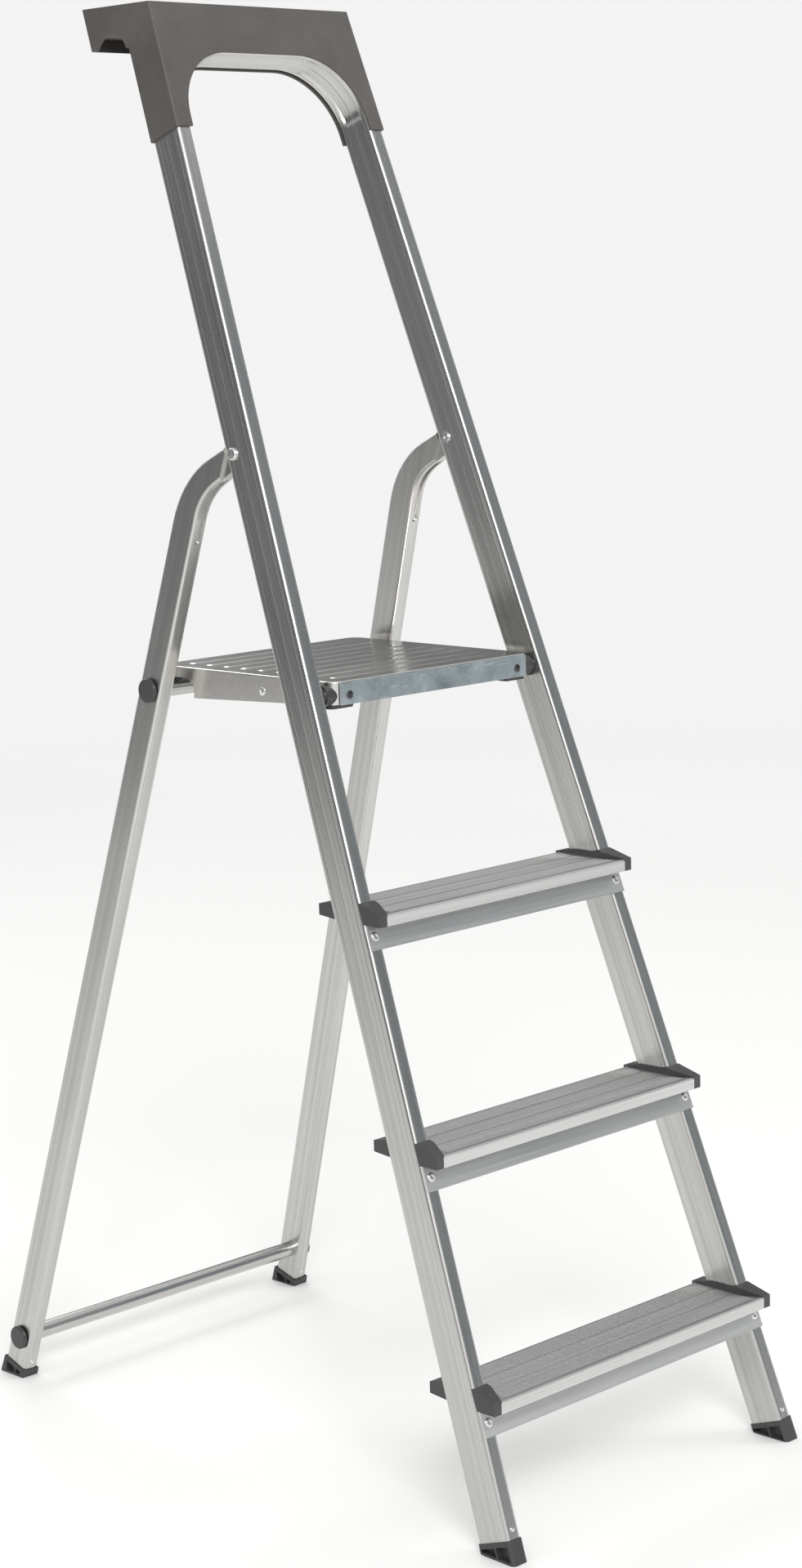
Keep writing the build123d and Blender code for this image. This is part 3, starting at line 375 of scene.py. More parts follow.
def make_finishes(colours):
    finishes.update(
        bow=metal("bow_aluminium", colours.stile, 0.27, along_tube, ALONG_Z, 0.0),
        leg=metal("leg_aluminium", colours.stile, 0.29, along_leg, ALONG_Z, 2.0),
        tread=metal("tread_aluminium", colours.tread, 0.44, along_x, ACROSS_X, 5.0, 0.7),
        tube=metal("tube_aluminium", colours.stile, 0.25, along_x, ACROSS_X, 11.0, 0.8),
        deck=metal("deck_aluminium", colours.sheet, 0.21, along_x, (0.02, 1.0, 1.0), 14.0, 0.35, 1.4),
        # groove: tread aluminium darkened to about half and made rougher, painted shade for the grooves
        # between the ribs
        groove=metal("groove_aluminium", tinted(colours.tread, 0.52), 0.55, along_x, ACROSS_X, 5.0, 0.7),
        dark_rivet=turned("dark_rivet_metal", tinted(colours.rivet, 0.12)),
        zinc=zinc_plate("zinc_plate", colours.zinc),
        rivet=turned("rivet_metal", colours.rivet),
        hood=moulded("hood_plastic", colours.hood, 0.50, 1700, 0.00009),
        fitting=moulded("fitting_plastic", colours.fitting, 0.34, 2300, 0.00004, 0.8),
        foot=moulded("foot_plastic", colours.fitting, 0.48, 1500, 0.00007, 1.4),
    )


# ------------------------------------------------------------------ pieces from the frame
def own_mesh(node, merge=2e-6):
    """Merged copy of a CAD node's mesh in a bmesh."""
    work = bmesh.new()
    work.from_mesh(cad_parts[node].data)
    bmesh.ops.remove_doubles(work, verts=work.verts, dist=merge)
    return work


def whole_faces(work, angle=radians(0.6)):
    """Joins the triangles of each flat face."""
    bmesh.ops.dissolve_degenerate(work, edges=work.edges, dist=1e-6)
    bmesh.ops.dissolve_limit(work, angle_limit=angle, verts=work.verts, edges=work.edges)


def new_piece(name, work, material):
    """Object made from a bmesh, which it frees."""
    mesh = bpy.data.meshes.new(name)
    work.to_mesh(mesh)
    work.free()
    piece = bpy.data.objects.new(name, mesh)
    bpy.context.scene.collection.objects.link(piece)
    piece.data.materials.append(material)
    return piece


def smooth(mesh, angle=radians(35)):
    mesh.polygons.foreach_set("use_smooth", [True] * len(mesh.polygons))
    mesh.set_sharp_from_angle(angle=angle)


def settle(piece):
    """Replaces a piece's mesh by what its modifiers make, and removes them."""
    graph = bpy.context.evaluated_depsgraph_get()
    made = bpy.data.meshes.new_from_object(piece.evaluated_get(graph), preserve_all_data_layers=True,
                                           depsgraph=graph)
    materials = list(piece.data.materials)
    piece.modifiers.clear()
    if materials:
        made.materials.clear()
    for material in materials:
        made.materials.append(material)
    piece.data = made
    return piece


def soften(piece, width, segments=3, angle=radians(32)):
    """Rounds the sharp edges of a piece and keeps its flat faces flat in shading."""
    bevel = piece.modifiers.new("edges", "BEVEL")
    bevel.width = width
    bevel.segments = segments
    bevel.limit_method = "ANGLE"
    bevel.angle_limit = angle
    bevel.use_clamp_overlap = True
    bevel.miter_outer = "MITER_ARC"
    settle(piece)
    smooth(piece.data, radians(40))
    even = piece.modifiers.new("shading", "WEIGHTED_NORMAL")
    even.keep_sharp = True
    return settle(piece)


def stand_for(piece, body, slot, *nodes):
    """Puts a piece on its body in place of CAD nodes."""
    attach(piece, body)
    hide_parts(*nodes)
    return piece


def softened(node, name, body, slot, material, width=0.6 * MM, segments=3):
    """Finished copy of a CAD node with rounded edges."""
    work = own_mesh(node)
    whole_faces(work)
    piece = soften(new_piece(name, work, material), width, segments)
    return stand_for(piece, body, slot, node)


def dress(node, material):
    """Gives a CAD node that keeps its own shape its finish."""
    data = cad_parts[node].data
    if data.materials:
        data.materials[0] = material
    else:
        data.materials.append(material)


# ------------------------------------------------------------------ geometry nodes
def geometry_tree(name, sizes):
    """Empty tree with a geometry input, a material input and one named input for each size."""
    tree = bpy.data.node_groups.new(name, "GeometryNodeTree")
    face = tree.interface
    face.new_socket("Geometry", in_out="OUTPUT", socket_type="NodeSocketGeometry")
    face.new_socket("Geometry", in_out="INPUT", socket_type="NodeSocketGeometry")
    face.new_socket("Material", in_out="INPUT", socket_type="NodeSocketMaterial")
    for label, value in sizes.items():
        kind = "NodeSocketInt" if isinstance(value, int) else "NodeSocketFloat"
        face.new_socket(label, in_out="INPUT", socket_type=kind).default_value = value
    nodes = Nodes(tree)
    return nodes, nodes.add("NodeGroupInput"), nodes.add("NodeGroupOutput")


def close_tree(nodes, given, out, shape, shade_smooth=True):
    """Ends a tree with Realize Instances and Set Material."""
    real = nodes.add("GeometryNodeRealizeInstances", {"Geometry": shape})
    if shade_smooth:
        real = nodes.add("GeometryNodeSetShadeSmooth", {"Geometry": real})
    nodes.put(out.inputs[0], nodes.add("GeometryNodeSetMaterial", {
        "Geometry": real, "Material": given.outputs["Material"]}))
    return nodes.tree


def grow(piece, tree, material, sizes):
    """Runs a tree on a piece with these sizes and keeps its result as a plain mesh."""
    run = piece.modifiers.new(tree.name, "NODES")
    run.node_group = tree
    keys = {item.name: item.identifier for item in tree.interface.items_tree if item.in_out == "INPUT"}
    run[keys["Material"]] = material
    for label, value in sizes.items():
        run[keys[label]] = value
    return settle(piece)


def tube_tree(sizes):
    """Sweeps a rounded rectangular tube along the piece's own line, with pressed hollows in its bends."""
    nodes, given, out = geometry_tree("swept_tube", sizes)
    size = given.outputs
    path = nodes.add("GeometryNodeMeshToCurve", {"Mesh": size["Geometry"]})
    path = nodes.add("GeometryNodeFilletCurve", {"Curve": path, "Count": 40, "Radius": size["Bend"]},
                     mode="POLY")
    path = nodes.add("GeometryNodeSetCurveNormal", {"Curve": path}, mode="Z_UP")
    length = nodes.add("GeometryNodeSplineParameter")
    tangent = nodes.add("GeometryNodeInputTangent")
    turn = nodes.math("ABSOLUTE", nodes.add("ShaderNodeSeparateXYZ", {0: tangent}).outputs[0])
    pressed = nodes.math("MULTIPLY", nodes.ramp(turn, *PRESS_IN, smooth=True),
                         nodes.ramp(turn, *PRESS_OUT, 1.0, 0.0, smooth=True))
    for label, value, kind in (("along", length.outputs["Length"], "FLOAT"), ("pressed", pressed, "FLOAT")):
        path = nodes.add("GeometryNodeStoreNamedAttribute", {"Geometry": path, "Name": label, "Value": value},
                         data_type=kind, domain="POINT")
    section = nodes.add("GeometryNodeCurvePrimitiveQuadrilateral", {
        "Width": size["Width"], "Height": size["Depth"]}, mode="RECTANGLE")
    section = nodes.add("GeometryNodeFilletCurve", {"Curve": section, "Count": 5, "Radius": size["Corner"]},
                        mode="POLY")
    section = nodes.add("GeometryNodeResampleCurve", {"Curve": section, "Count": SECTION_POINTS})
    spot = nodes.add("GeometryNodeInputPosition")
    parts = nodes.add("ShaderNodeSeparateXYZ", {0: spot})
    inner = nodes.math("GREATER_THAN", parts.outputs[0], 0.0)
    across = nodes.math("ABSOLUTE", parts.outputs[1])
    half = nodes.math("MULTIPLY", size["Press Width"], 0.5)
    hollow = nodes.ramp(across, nodes.math("MULTIPLY", half, 0.72), half, 1.0, 0.0, smooth=True)
    lines = nodes.math("WRAP", across, LINE_STEP, -LINE_STEP)
    line = nodes.ramp(nodes.math("ABSOLUTE", lines), 0.0, LINE_HALF, 1.0, 0.0, smooth=True)
    wide = nodes.ramp(across, LINES_FROM, LINES_TO, 1.0, 0.0)
    inward = nodes.math("MULTIPLY", nodes.math("MULTIPLY", line, wide), size["Line"])
    outward = nodes.math("SUBTRACT", 1.0, nodes.math("DIVIDE", inward, nodes.math(
        "MULTIPLY", size["Width"], 0.5)))
    section = nodes.add("GeometryNodeStoreNamedAttribute", {
        "Geometry": section, "Name": "hollow", "Value": nodes.math("MULTIPLY", hollow, inner)},
        data_type="FLOAT", domain="POINT")
    around = nodes.add("GeometryNodeSplineParameter").outputs["Length"]
    section = nodes.add("GeometryNodeStoreNamedAttribute", {
        "Geometry": section, "Name": "around", "Value": around}, data_type="FLOAT", domain="POINT")
    section = nodes.add("GeometryNodeSetPosition", {
        "Geometry": section, "Position": nodes.vector("MULTIPLY", spot, nodes.add(
            "ShaderNodeCombineXYZ", {0: outward, 1: 1.0, 2: 1.0}))})
    tube = nodes.add("GeometryNodeCurveToMesh", {"Curve": path, "Profile Curve": section, "Fill Caps": True})

    def kept(label):
        return nodes.add("GeometryNodeInputNamedAttribute", {"Name": label}, data_type="FLOAT").outputs[0]

    push = nodes.math("MULTIPLY", nodes.math("MULTIPLY", kept("hollow"), kept("pressed")), size["Press"])
    normal = nodes.add("GeometryNodeInputNormal")
    tube = nodes.add("GeometryNodeSetPosition", {"Geometry": tube, "Offset": nodes.vector(
        "SCALE", normal, (0, 0, 0), (0, 0, 0), nodes.math("MULTIPLY", push, -1.0))})
    tube = nodes.add("GeometryNodeStoreNamedAttribute", {
        "Geometry": tube, "Name": "run", "Value": nodes.add("ShaderNodeCombineXYZ", {
            0: kept("around"), 1: kept("along")})}, data_type="FLOAT2", domain="CORNER")
    return close_tree(nodes, given, out, tube)


def rivet_tree(sizes):
    """A round set head on each of the piece's points, facing along the point's own direction."""
    nodes, given, out = geometry_tree("set_rivets", sizes)
    size = given.outputs
    height = size["Height"]
    head = nodes.add("GeometryNodeMeshCylinder", {"Vertices": 28, "Side Segments": 2, "Fill Segments": 12,
                                                  "Radius": size["Radius"], "Depth": height},
                     fill_type="TRIANGLE_FAN").outputs["Mesh"]
    spot = nodes.add("GeometryNodeInputPosition")
    parts = nodes.add("ShaderNodeSeparateXYZ", {0: spot})
    reach = nodes.length(nodes.add("ShaderNodeCombineXYZ", {0: parts.outputs[0], 1: parts.outputs[1]}))
    share = nodes.math("DIVIDE", reach, size["Radius"])
    dome = nodes.math("SUBTRACT", 1.0, nodes.math("POWER", share, 4.0))
    pit = nodes.ramp(reach, nodes.math("MULTIPLY", size["Recess"], 0.72), size["Recess"], 1.0, 0.0,
                     smooth=True)
    collar = nodes.math("MULTIPLY", nodes.ramp(reach, size["Recess"], nodes.math(
        "MULTIPLY", size["Recess"], 1.35), 1.0, 0.0, smooth=True), 0.12)
    top = nodes.math("ADD", nodes.math("MULTIPLY", dome, 0.62), 0.38)
    top = nodes.math("SUBTRACT", nodes.math("ADD", top, collar), nodes.math("MULTIPLY", pit, size["Pit"]))
    lifted = nodes.math("MULTIPLY", top, height)
    upper = nodes.math("GREATER_THAN", parts.outputs[2], nodes.math("MULTIPLY", height, 0.49))
    z = nodes.math("ADD", nodes.math("MULTIPLY", upper, lifted), nodes.math("MULTIPLY", nodes.math(
        "SUBTRACT", 1.0, upper), nodes.math("MULTIPLY", parts.outputs[2], 0.2)))
    head = nodes.add("GeometryNodeSetPosition", {"Geometry": head, "Position": nodes.add(
        "ShaderNodeCombineXYZ", {0: parts.outputs[0], 1: parts.outputs[1], 2: z})})
    facing = nodes.add("GeometryNodeInputNamedAttribute", {"Name": "facing"},
                       data_type="FLOAT_VECTOR").outputs[0]
    turn = nodes.add("FunctionNodeAlignRotationToVector", {"Vector": facing}, axis="Z")
    heads = nodes.add("GeometryNodeInstanceOnPoints", {"Points": size["Geometry"], "Instance": head,
                                                       "Rotation": turn})
    return close_tree(nodes, given, out, heads)


def rib_tree(sizes):
    """Bands of round-topped ribs along X with plain strips between, first rib at the piece's own point."""
    nodes, given, out = geometry_tree("tread_ribs", sizes)
    size = given.outputs
    rib = nodes.add("GeometryNodeMeshCylinder", {"Vertices": 10, "Side Segments": 1, "Fill Segments": 1,
                                                 "Radius": nodes.math("MULTIPLY", size["Rib Width"], 0.5),
                                                 "Depth": size["Length"]}).outputs["Mesh"]
    rib = nodes.add("GeometryNodeTransform", {"Geometry": rib, "Rotation": (0, pi / 2, 0)})
    flat = nodes.math("DIVIDE", size["Rib Height"], nodes.math("MULTIPLY", size["Rib Width"], 0.5))
    gap = nodes.math("SUBTRACT", size["Band Step"], nodes.math("MULTIPLY", nodes.math(
        "SUBTRACT", size["Count"], 1), size["Pitch"]))
    groove = nodes.math("SUBTRACT", size["Pitch"], size["Rib Width"])
    plain = nodes.math("SUBTRACT", nodes.math("SUBTRACT", gap, size["Rib Width"]), nodes.math(
        "MULTIPLY", groove, 2.0))
    strip = nodes.add("GeometryNodeMeshCube", {"Size": nodes.add("ShaderNodeCombineXYZ", {
        0: size["Length"], 1: plain, 2: nodes.math("MULTIPLY", size["Rib Height"], 2.0)})}).outputs["Mesh"]
    rib = nodes.add("GeometryNodeTransform", {"Geometry": rib, "Scale": nodes.add(
        "ShaderNodeCombineXYZ", {0: 1.0, 1: 1.0, 2: flat})})
    band = nodes.add("GeometryNodeMeshLine", {"Count": size["Count"], "Offset": nodes.add(
        "ShaderNodeCombineXYZ", {1: size["Pitch"]})}, mode="OFFSET")
    bands = nodes.add("GeometryNodeMeshLine", {"Count": size["Bands"], "Offset": nodes.add(
        "ShaderNodeCombineXYZ", {1: size["Band Step"]})}, mode="OFFSET")
    group = nodes.add("GeometryNodeInstanceOnPoints", {"Points": band, "Instance": rib})
    groups = nodes.add("GeometryNodeInstanceOnPoints", {"Points": bands, "Instance": group})
    between = nodes.add("GeometryNodeMeshLine", {
        "Count": nodes.math("ADD", size["Bands"], 1), "Offset": nodes.add(
            "ShaderNodeCombineXYZ", {1: size["Band Step"]}), "Start Location": nodes.add(
            "ShaderNodeCombineXYZ", {1: nodes.math("MULTIPLY", gap, -0.5)})}, mode="OFFSET")
    strips = nodes.add("GeometryNodeInstanceOnPoints", {"Points": between, "Instance": strip})
    whole = nodes.add("GeometryNodeJoinGeometry")
    for part in (groups, strips):
        nodes.tree.links.new(part.outputs[0], whole.inputs[0])
    placed = nodes.add("GeometryNodeInstanceOnPoints", {"Points": size["Geometry"], "Instance": whole})
    return close_tree(nodes, given, out, placed, False)


def bead_tree(sizes):
    """Low rounded beads pressed in the platform, one behind another from the piece's own point."""
    nodes, given, out = geometry_tree("platform_beads", sizes)
    size = given.outputs
    sheet = nodes.add("GeometryNodeMeshGrid", {
        "Size X": nodes.math("ADD", size["Length"], 2 * MM), "Size Y": nodes.math("ADD", size["Width"], MM),
        "Vertices X": 190, "Vertices Y": 19}).outputs["Mesh"]
    spot = nodes.add("GeometryNodeInputPosition")
    parts = nodes.add("ShaderNodeSeparateXYZ", {0: spot})
    straight = nodes.math("MULTIPLY", nodes.math("SUBTRACT", size["Length"], size["Width"]), 0.5)
    past = nodes.math("MAXIMUM", nodes.math("SUBTRACT", nodes.math("ABSOLUTE", parts.outputs[0]),
                                            straight), 0.0)
    reach = nodes.length(nodes.add("ShaderNodeCombineXYZ", {0: past, 1: parts.outputs[1]}))
    half = nodes.math("MULTIPLY", size["Width"], 0.5)
    crown = nodes.ramp(reach, nodes.math("MULTIPLY", half, 0.22), half, 1.0, 0.0, smooth=True)
    rise = nodes.math("MULTIPLY", crown, size["Height"])
    bead = nodes.add("GeometryNodeSetPosition", {"Geometry": sheet, "Offset": nodes.add(
        "ShaderNodeCombineXYZ", {2: nodes.math("SUBTRACT", rise, BEAD_SINK)})})
    line = nodes.add("GeometryNodeMeshLine", {"Count": size["Count"], "Offset": nodes.add(
        "ShaderNodeCombineXYZ", {1: size["Step"]})}, mode="OFFSET")
    beads = nodes.add("GeometryNodeInstanceOnPoints", {"Points": line, "Instance": bead})
    placed = nodes.add("GeometryNodeInstanceOnPoints", {"Points": size["Geometry"], "Instance": beads})
    return close_tree(nodes, given, out, placed)


def points_piece(name, points, facing=None, edges=()):
    """Piece of bare points, with a direction at each if facing is given."""
    mesh = bpy.data.meshes.new(name)
    mesh.from_pydata([tuple(p) for p in points], list(edges), [])
    if facing is not None:
        store = mesh.attributes.new("facing", "FLOAT_VECTOR", "POINT")
        store.data.foreach_set("vector", [c for f in facing for c in f])
    piece = bpy.data.objects.new(name, mesh)
    bpy.context.scene.collection.objects.link(piece)
    return piece


def islands(node):
    """Vertex places of each separate solid in a node."""
    work = own_mesh(node)
    left = set(work.verts)
    found = []
    while left:
        heap = [left.pop()]
        group = []
        while heap:
            vert = heap.pop()
            group.append(vert.co.copy())
            for edge in vert.link_edges:
                other = edge.other_vert(vert)
                if other in left:
                    left.remove(other)
                    heap.append(other)
        found.append(group)
    work.free()
    return found


def head_seat(group, facing, height):
    """Middle of a rivet head's seat: its farthest face along facing, moved back by the head's height."""
    reach = max(p.dot(facing) for p in group)
    face = [p for p in group if p.dot(facing) > reach - 0.02 * MM]
    middle = sum(face, Vector()) / len(face)
    return middle - facing * height


# ------------------------------------------------------------------ operators
class LADDER_OT_finishes(bpy.types.Operator):
    """Makes the ladder's metals and plastics"""
    bl_idname = "ladder.finishes"
    bl_label = "Make finishes"

    def execute(self, context):
        make_finishes(context.scene.ladder_finish)
        return {"FINISHED"}


class LADDER_OT_bow(bpy.types.Operator):
    """Builds the stiles and the bow as one bent tube"""
    bl_idname = "ladder.bow"
    bl_label = "Build stiles and bow"

    def execute(self, context):
        given = context.scene.ladder_bow
        half_low = HALF_WIDTH - STILE_W / 2 / cos(A_PLANE)
        half_top = half_low - tan(A_PLANE) * given.top
        half_start = half_low - tan(A_PLANE) * TUBE_START
        line = [(-half_start, TUBE_START, 0), (-half_top, given.top, 0), (half_top, given.top, 0),
                (half_start, TUBE_START, 0)]
        bow = points_piece("stile_tube", line, edges=((0, 1), (1, 2), (2, 3)))
        sizes = {"Width": STILE_W, "Depth": STILE_D, "Bend": given.bend, "Corner": given.corner,
                 "Press": given.press, "Press Width": given.press_width, "Line": given.line}
        grow(bow, tube_tree(sizes), finishes["bow"], sizes)
        bow.data.transform(STILE_SPACE @ Matrix.Translation((0, 0, -STILE_D / 2)))
        stand_for(bow, FRONT, "stile_aluminium", "stile_bow")
        return {"FINISHED"}


class LADDER_OT_treads(bpy.types.Operator):
    """Builds the three treads and their ribs"""
    bl_idname = "ladder.treads"
    bl_label = "Build treads"

    def execute(self, context):
        given = context.scene.ladder_tread
        for level in LEVELS:
            node = f"tread_{level}"
            low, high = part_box(node)
            top = high.z - given.rib_height
            work = own_mesh(node)
            for vert in work.verts:
                vert.co.z = min(vert.co.z, top)
            bmesh.ops.remove_doubles(work, verts=work.verts, dist=5e-6)
            whole_faces(work)
            tread = soften(new_piece(f"{node}_body", work, finishes["tread"]), 0.45 * MM, 2)
            # The body's top faces show only in the grooves between the ribs; they get the darker groove
            # finish, painted shade in the grooves.
            tread.data.materials.append(finishes["groove"])
            for face in tread.data.polygons:
                if face.normal.z > 0.99 and face.center.z > top - 0.05 * MM:
                    face.material_index = 1
            stand_for(tread, FRONT, "tread_aluminium", node)
            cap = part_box(f"cap_{level}_l")
            band = (high.y - low.y) * 0.30
            length = 2 * (abs(cap[1].x) - 0.4 * MM)
            ribs = points_piece(f"{node}_ribs", [(0, low.y + FIRST_RIB, top)])
            sizes = {"Rib Width": given.rib_width, "Rib Height": given.rib_height, "Pitch": given.pitch,
                     "Count": given.count, "Bands": given.bands, "Band Step": band, "Length": length}
            tree = bpy.data.node_groups.get("tread_ribs") or rib_tree(sizes)
            grow(ribs, tree, finishes["tread"], sizes)
            smooth(ribs.data, radians(50))
            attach(ribs, FRONT)
        return {"FINISHED"}


class LADDER_OT_rivets(bpy.types.Operator):
    """Builds every set rivet head, one piece for each group"""
    bl_idname = "ladder.rivets"
    bl_label = "Build rivets"

    def execute(self, context):
        ahead = Vector((0, -cos(A_LEAN), sin(A_LEAN)))
        leg_front = Vector((0, -cos(A_SPLAY), -sin(A_SPLAY)))
        # node, body, way the heads face (None is outward), and radius, height and recess in millimetres
        groups = (
            ("tread_rivets", FRONT, ahead, 4.6, 1.3, 2.1),
            ("strip_rivets", DECK, Vector((0, -1, 0)), 4.2, 1.2, 1.9),
            ("foot_rivets_front", FRONT, ahead, 2.4, 0.8, 0.9),
            ("foot_rivets_rear", REAR, leg_front, 2.4, 0.8, 0.9),
            ("brace_rivets", DECK, None, 4.4, 1.5, 1.6))
        for node, body, facing, radius, height, recess in groups:
            height, radius, recess = height * MM, radius * MM, recess * MM
            seats, ways = [], []
            for group in islands(node):
                way = facing or Vector((1 if group[0].x > 0 else -1, 0, 0))
                seats.append(head_seat(group, way, height))
                ways.append(way)
            piece = points_piece(f"{node}_heads", seats, ways)
            sizes = {"Radius": radius, "Height": height, "Recess": recess, "Pit": 0.85}
            tree = bpy.data.node_groups.get("set_rivets") or rivet_tree(sizes)
            grow(piece, tree, finishes["dark_rivet" if node == "strip_rivets" else "rivet"], sizes)
            smooth(piece.data, radians(50))
            stand_for(piece, body, "rivet_aluminium", node)
        return {"FINISHED"}


class LADDER_OT_end_caps(bpy.types.Operator):
    """Finishes the moulded caps at the ends of the treads"""
    bl_idname = "ladder.end_caps"
    bl_label = "Build tread end caps"

    def execute(self, context):
        for level in LEVELS:
            for tag, _ in SIDES:
                node = f"cap_{level}_{tag}"
                softened(node, f"{node}_shell", FRONT, "cap_plastic", finishes["fitting"], 0.7 * MM)
        return {"FINISHED"}


class LADDER_OT_legs(bpy.types.Operator):
    """Finishes the rear legs, their cross tubes and plugs"""
    bl_idname = "ladder.legs"
    bl_label = "Build rear frame"

    def execute(self, context):
        for tag, _ in SIDES:
            dress(f"leg_{tag}", finishes["leg"])
        for tube in ("tube_upper", "tube_lower"):
            dress(tube, finishes["tube"])
        for level in ("upper", "lower"):
            for tag, _ in SIDES:
                node = f"plug_{level}_{tag}"
                softened(node, f"{node}_cap", REAR, "fitting_plastic", finishes["fitting"], 0.4 * MM)
        return {"FINISHED"}


class LADDER_OT_platform(bpy.types.Operator):
    """Builds the platform sheet, its beads, strip, brace and blocks"""
    bl_idname = "ladder.platform"
    bl_label = "Build platform"

    def execute(self, context):
        given = context.scene.ladder_deck
        low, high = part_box("deck")
        top = high.z - BEAD_RISE
        work = own_mesh("deck")
        for vert in work.verts:
            vert.co.z = min(vert.co.z, top)
        bmesh.ops.remove_doubles(work, verts=work.verts, dist=5e-6)
        whole_faces(work)
        sheet = soften(new_piece("deck_sheet", work, finishes["deck"]), 0.5 * MM, 2)
        stand_for(sheet, DECK, "deck_aluminium", "deck")
        step = (high.y - low.y - 2 * DECK_RIM) / given.count
        beads = points_piece("deck_beads", [(0, low.y + DECK_RIM + step / 2, top)])
        sizes = {"Count": given.count, "Step": step, "Width": given.width, "Length": given.length,
                 "Height": given.height}
        grow(beads, bead_tree(sizes), finishes["deck"], sizes)
        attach(beads, DECK)
        softened("apron_strip", "front_strip", DECK, "strip_steel", finishes["zinc"], 0.35 * MM)
        softened("deck_brace", "under_brace", DECK, "deck_aluminium", finishes["tube"], 0.3 * MM, 2)
        for tag, _ in SIDES:
            for node in (f"bearing_{tag}", f"saddle_{tag}"):
                softened(node, f"{node}_block", DECK, "fitting_plastic", finishes["fitting"], 0.6 * MM)
        return {"FINISHED"}


class LADDER_OT_pivots(bpy.types.Operator):
    """Finishes the hinge rivets, the front cross tube and its collars"""
    bl_idname = "ladder.pivots"
    bl_label = "Build pivots"

    def execute(self, context):
        dress("front_tube", finishes["tube"])
        for tag, _ in SIDES:
            dress(f"hinge_rivet_{tag}", finishes["rivet"])
            softened(f"collar_{tag}", f"collar_{tag}_ring", FRONT, "fitting_plastic", finishes["fitting"],
                     0.5 * MM)
        return {"FINISHED"}


class LADDER_OT_hood(bpy.types.Operator):
    """Builds the moulded hood with its tray"""
    bl_idname = "ladder.hood"
    bl_label = "Build hood"

    def execute(self, context):
        softened("hood", "hood_shell", FRONT, "hood_plastic", finishes["hood"], 1.1 * MM)
        dress("hood_screws", finishes["rivet"])
        return {"FINISHED"}


class LADDER_OT_feet(bpy.types.Operator):
    """Finishes the four feet"""
    bl_idname = "ladder.feet"
    bl_label = "Build feet"

    def execute(self, context):
        for place, body in (("front", FRONT), ("rear", REAR)):
            for tag, _ in SIDES:
                node = f"foot_{place}_{tag}"
                softened(node, f"{node}_shoe", body, "foot_plastic", finishes["foot"], 0.8 * MM)
        return {"FINISHED"}


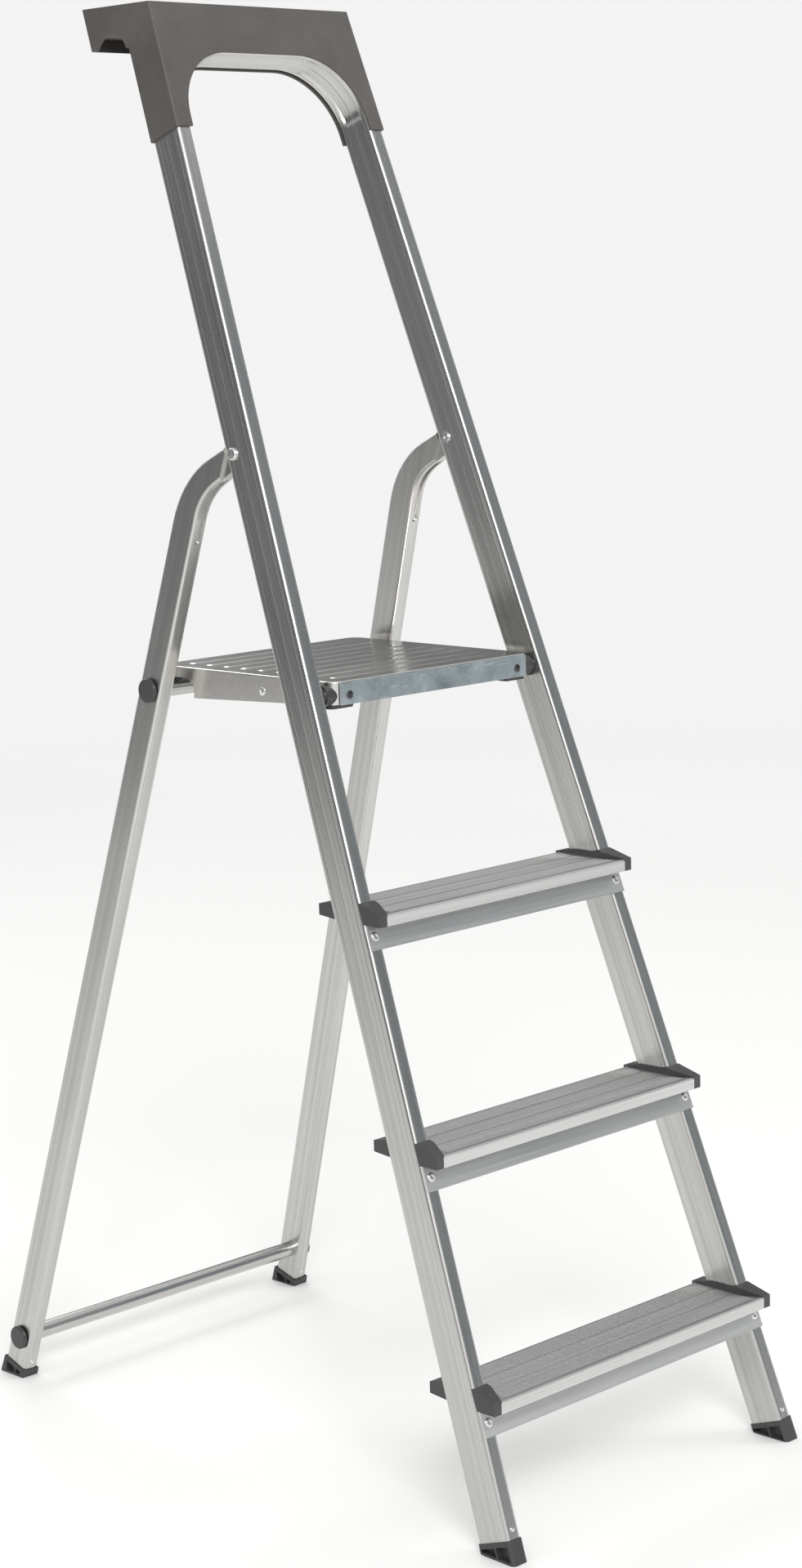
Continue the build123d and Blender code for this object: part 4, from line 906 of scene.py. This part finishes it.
class LADDER_OT_stage(bpy.types.Operator):
    """Sets the floor, the lights and the camera"""
    bl_idname = "ladder.stage"
    bl_label = "Set the stage"

    def execute(self, context):
        given = context.scene.ladder_stage
        self.surround(context.scene, given)
        self.floor(given)
        self.lights(given)
        self.camera(context.scene, given)
        return {"FINISHED"}

    def surround(self, scene, given):
        scene.world = bpy.data.worlds.new("surround")
        scene.world.use_nodes = True
        back = scene.world.node_tree.nodes["Background"]
        back.inputs["Color"].default_value = (1.0, 1.0, 1.0, 1)
        back.inputs["Strength"].default_value = given.surround
        scene.view_settings.view_transform = "Standard"

    def floor(self, given):
        work = bmesh.new()
        bmesh.ops.create_circle(work, cap_ends=True, segments=96, radius=60)
        paint = bpy.data.materials.new("floor")
        paint.use_nodes = True
        nodes = Nodes(paint.node_tree)
        shader = paint.node_tree.nodes["Principled BSDF"]
        shader.inputs["Base Color"].default_value = (*given.floor, 1)
        shader.inputs["Roughness"].default_value = 0.6
        far = nodes.add("ShaderNodeEmission", {"Color": (1, 1, 1, 1), "Strength": given.surround})
        place = nodes.add("ShaderNodeTexCoord").outputs["Object"]
        reach = nodes.length(place)
        fade = nodes.ramp(reach, 1.6, 6.0, smooth=True)
        both = nodes.add("ShaderNodeMixShader", {0: fade, 1: shader.outputs[0], 2: far.outputs[0]})
        nodes.put(paint.node_tree.nodes["Material Output"].inputs["Surface"], both)
        new_piece("floor", work, paint)

    def panel(self, name, centre, aim, size, colour, strength):
        """Flat card that only shows in reflections."""
        work = bmesh.new()
        bmesh.ops.create_grid(work, x_segments=1, y_segments=1, size=0.5)
        paint = bpy.data.materials.new(name)
        paint.use_nodes = True
        nodes = Nodes(paint.node_tree)
        glow = nodes.add("ShaderNodeEmission", {"Color": (*colour, 1), "Strength": strength})
        nodes.put(paint.node_tree.nodes["Material Output"].inputs["Surface"], glow)
        card = new_piece(name, work, paint)
        way = (Vector(aim) - Vector(centre)).to_track_quat("Z", "Y").to_matrix().to_4x4()
        card.data.transform(Matrix.Translation(centre) @ way @ Matrix.Diagonal((*size, 1, 1)))
        card.visible_camera = card.visible_diffuse = card.visible_shadow = False

    def lights(self, given):
        middle = (0, 0, 0.8)
        for name, place, size, power in (("key", (-2.6, -3.6, 3.4), (2.2, 1.6), given.key),
                                         ("fill", (3.4, -2.2, 2.6), (1.6, 2.4), given.fill),
                                         ("rim", (1.5, 3.6, 3.2), (2.4, 1.2), given.fill)):
            data = bpy.data.lights.new(name, "AREA")
            data.shape = "RECTANGLE"
            data.size, data.size_y = size
            data.energy = power
            light = bpy.data.objects.new(name, data)
            way = (Vector(place) - Vector(middle)).to_track_quat("Z", "Y").to_matrix().to_4x4()
            light.matrix_world = Matrix.Translation(place) @ way
            bpy.context.scene.collection.objects.link(light)
        grey, cool = (0.95, 0.97, 1.0), (0.80, 0.92, 1.0)
        self.panel("card_left", (-3.0, 2.2, 1.45), (0, 1.4, 1.2), (6.0, 2.5), grey, 0.17)
        self.panel("card_right", (3.0, 2.2, 1.45), (0, 1.4, 1.2), (6.0, 2.5), grey, 0.17)
        self.panel("card_front_right", (2.6, -2.6, 1.9), (0, 0, 1.0), (3.4, 3.4), cool, 0.22)
        self.panel("card_front_left", (-3.4, -1.2, 1.1), (0, 0, 1.0), (1.6, 1.8), grey, 0.2)

    def camera(self, scene, given):
        data = bpy.data.cameras.new("camera")
        data.lens, data.sensor_width = given.lens, 36
        camera = bpy.data.objects.new("camera", data)
        turn, tilt, roll = given.heading, given.pitch, given.roll
        ahead = Vector((-sin(turn) * cos(tilt), cos(turn) * cos(tilt), sin(tilt)))
        level = Vector((cos(turn), sin(turn), 0))
        up = level.cross(ahead)
        right = level * cos(roll) + up * sin(roll)
        upright = up * cos(roll) - level * sin(roll)
        way = Matrix((right, upright, -ahead)).transposed().to_4x4()
        camera.matrix_world = Matrix.Translation(given.stand) @ way
        scene.collection.objects.link(camera)
        scene.camera = camera


STEPS = (LADDER_OT_finishes, LADDER_OT_bow, LADDER_OT_treads, LADDER_OT_rivets, LADDER_OT_end_caps,
         LADDER_OT_legs, LADDER_OT_platform, LADDER_OT_pivots, LADDER_OT_hood, LADDER_OT_feet,
         LADDER_OT_stage)
GROUPS = (("ladder_stage", LadderStage), ("ladder_finish", LadderFinish), ("ladder_bow", LadderBow),
          ("ladder_tread", LadderTread), ("ladder_deck", LadderDeck))


class LADDER_PT_panel(bpy.types.Panel):
    """Lists the ladder's steps and their sizes"""
    bl_idname = "LADDER_PT_panel"
    bl_label = "Platform Step Ladder"
    bl_space_type = "VIEW_3D"
    bl_region_type = "UI"
    bl_category = "Ladder"

    def draw(self, context):
        for step in STEPS:
            self.layout.operator(step.bl_idname)
        for key, group in GROUPS:
            box = self.layout.box()
            for label in group.__annotations__:
                box.prop(getattr(context.scene, key), label)


def register():
    for cls in (*(group for _, group in GROUPS), *STEPS, LADDER_PT_panel):
        bpy.utils.register_class(cls)
    for key, group in GROUPS:
        setattr(bpy.types.Scene, key, bpy.props.PointerProperty(type=group))


def unregister():
    for key, _ in GROUPS:
        delattr(bpy.types.Scene, key)
    for cls in (LADDER_PT_panel, *reversed(STEPS), *(group for _, group in reversed(GROUPS))):
        bpy.utils.unregister_class(cls)


def main():
    register()
    for step in STEPS:
        area, name = step.bl_idname.split(".")
        getattr(getattr(bpy.ops, area), name)()


if __name__ == "__main__":
    main()
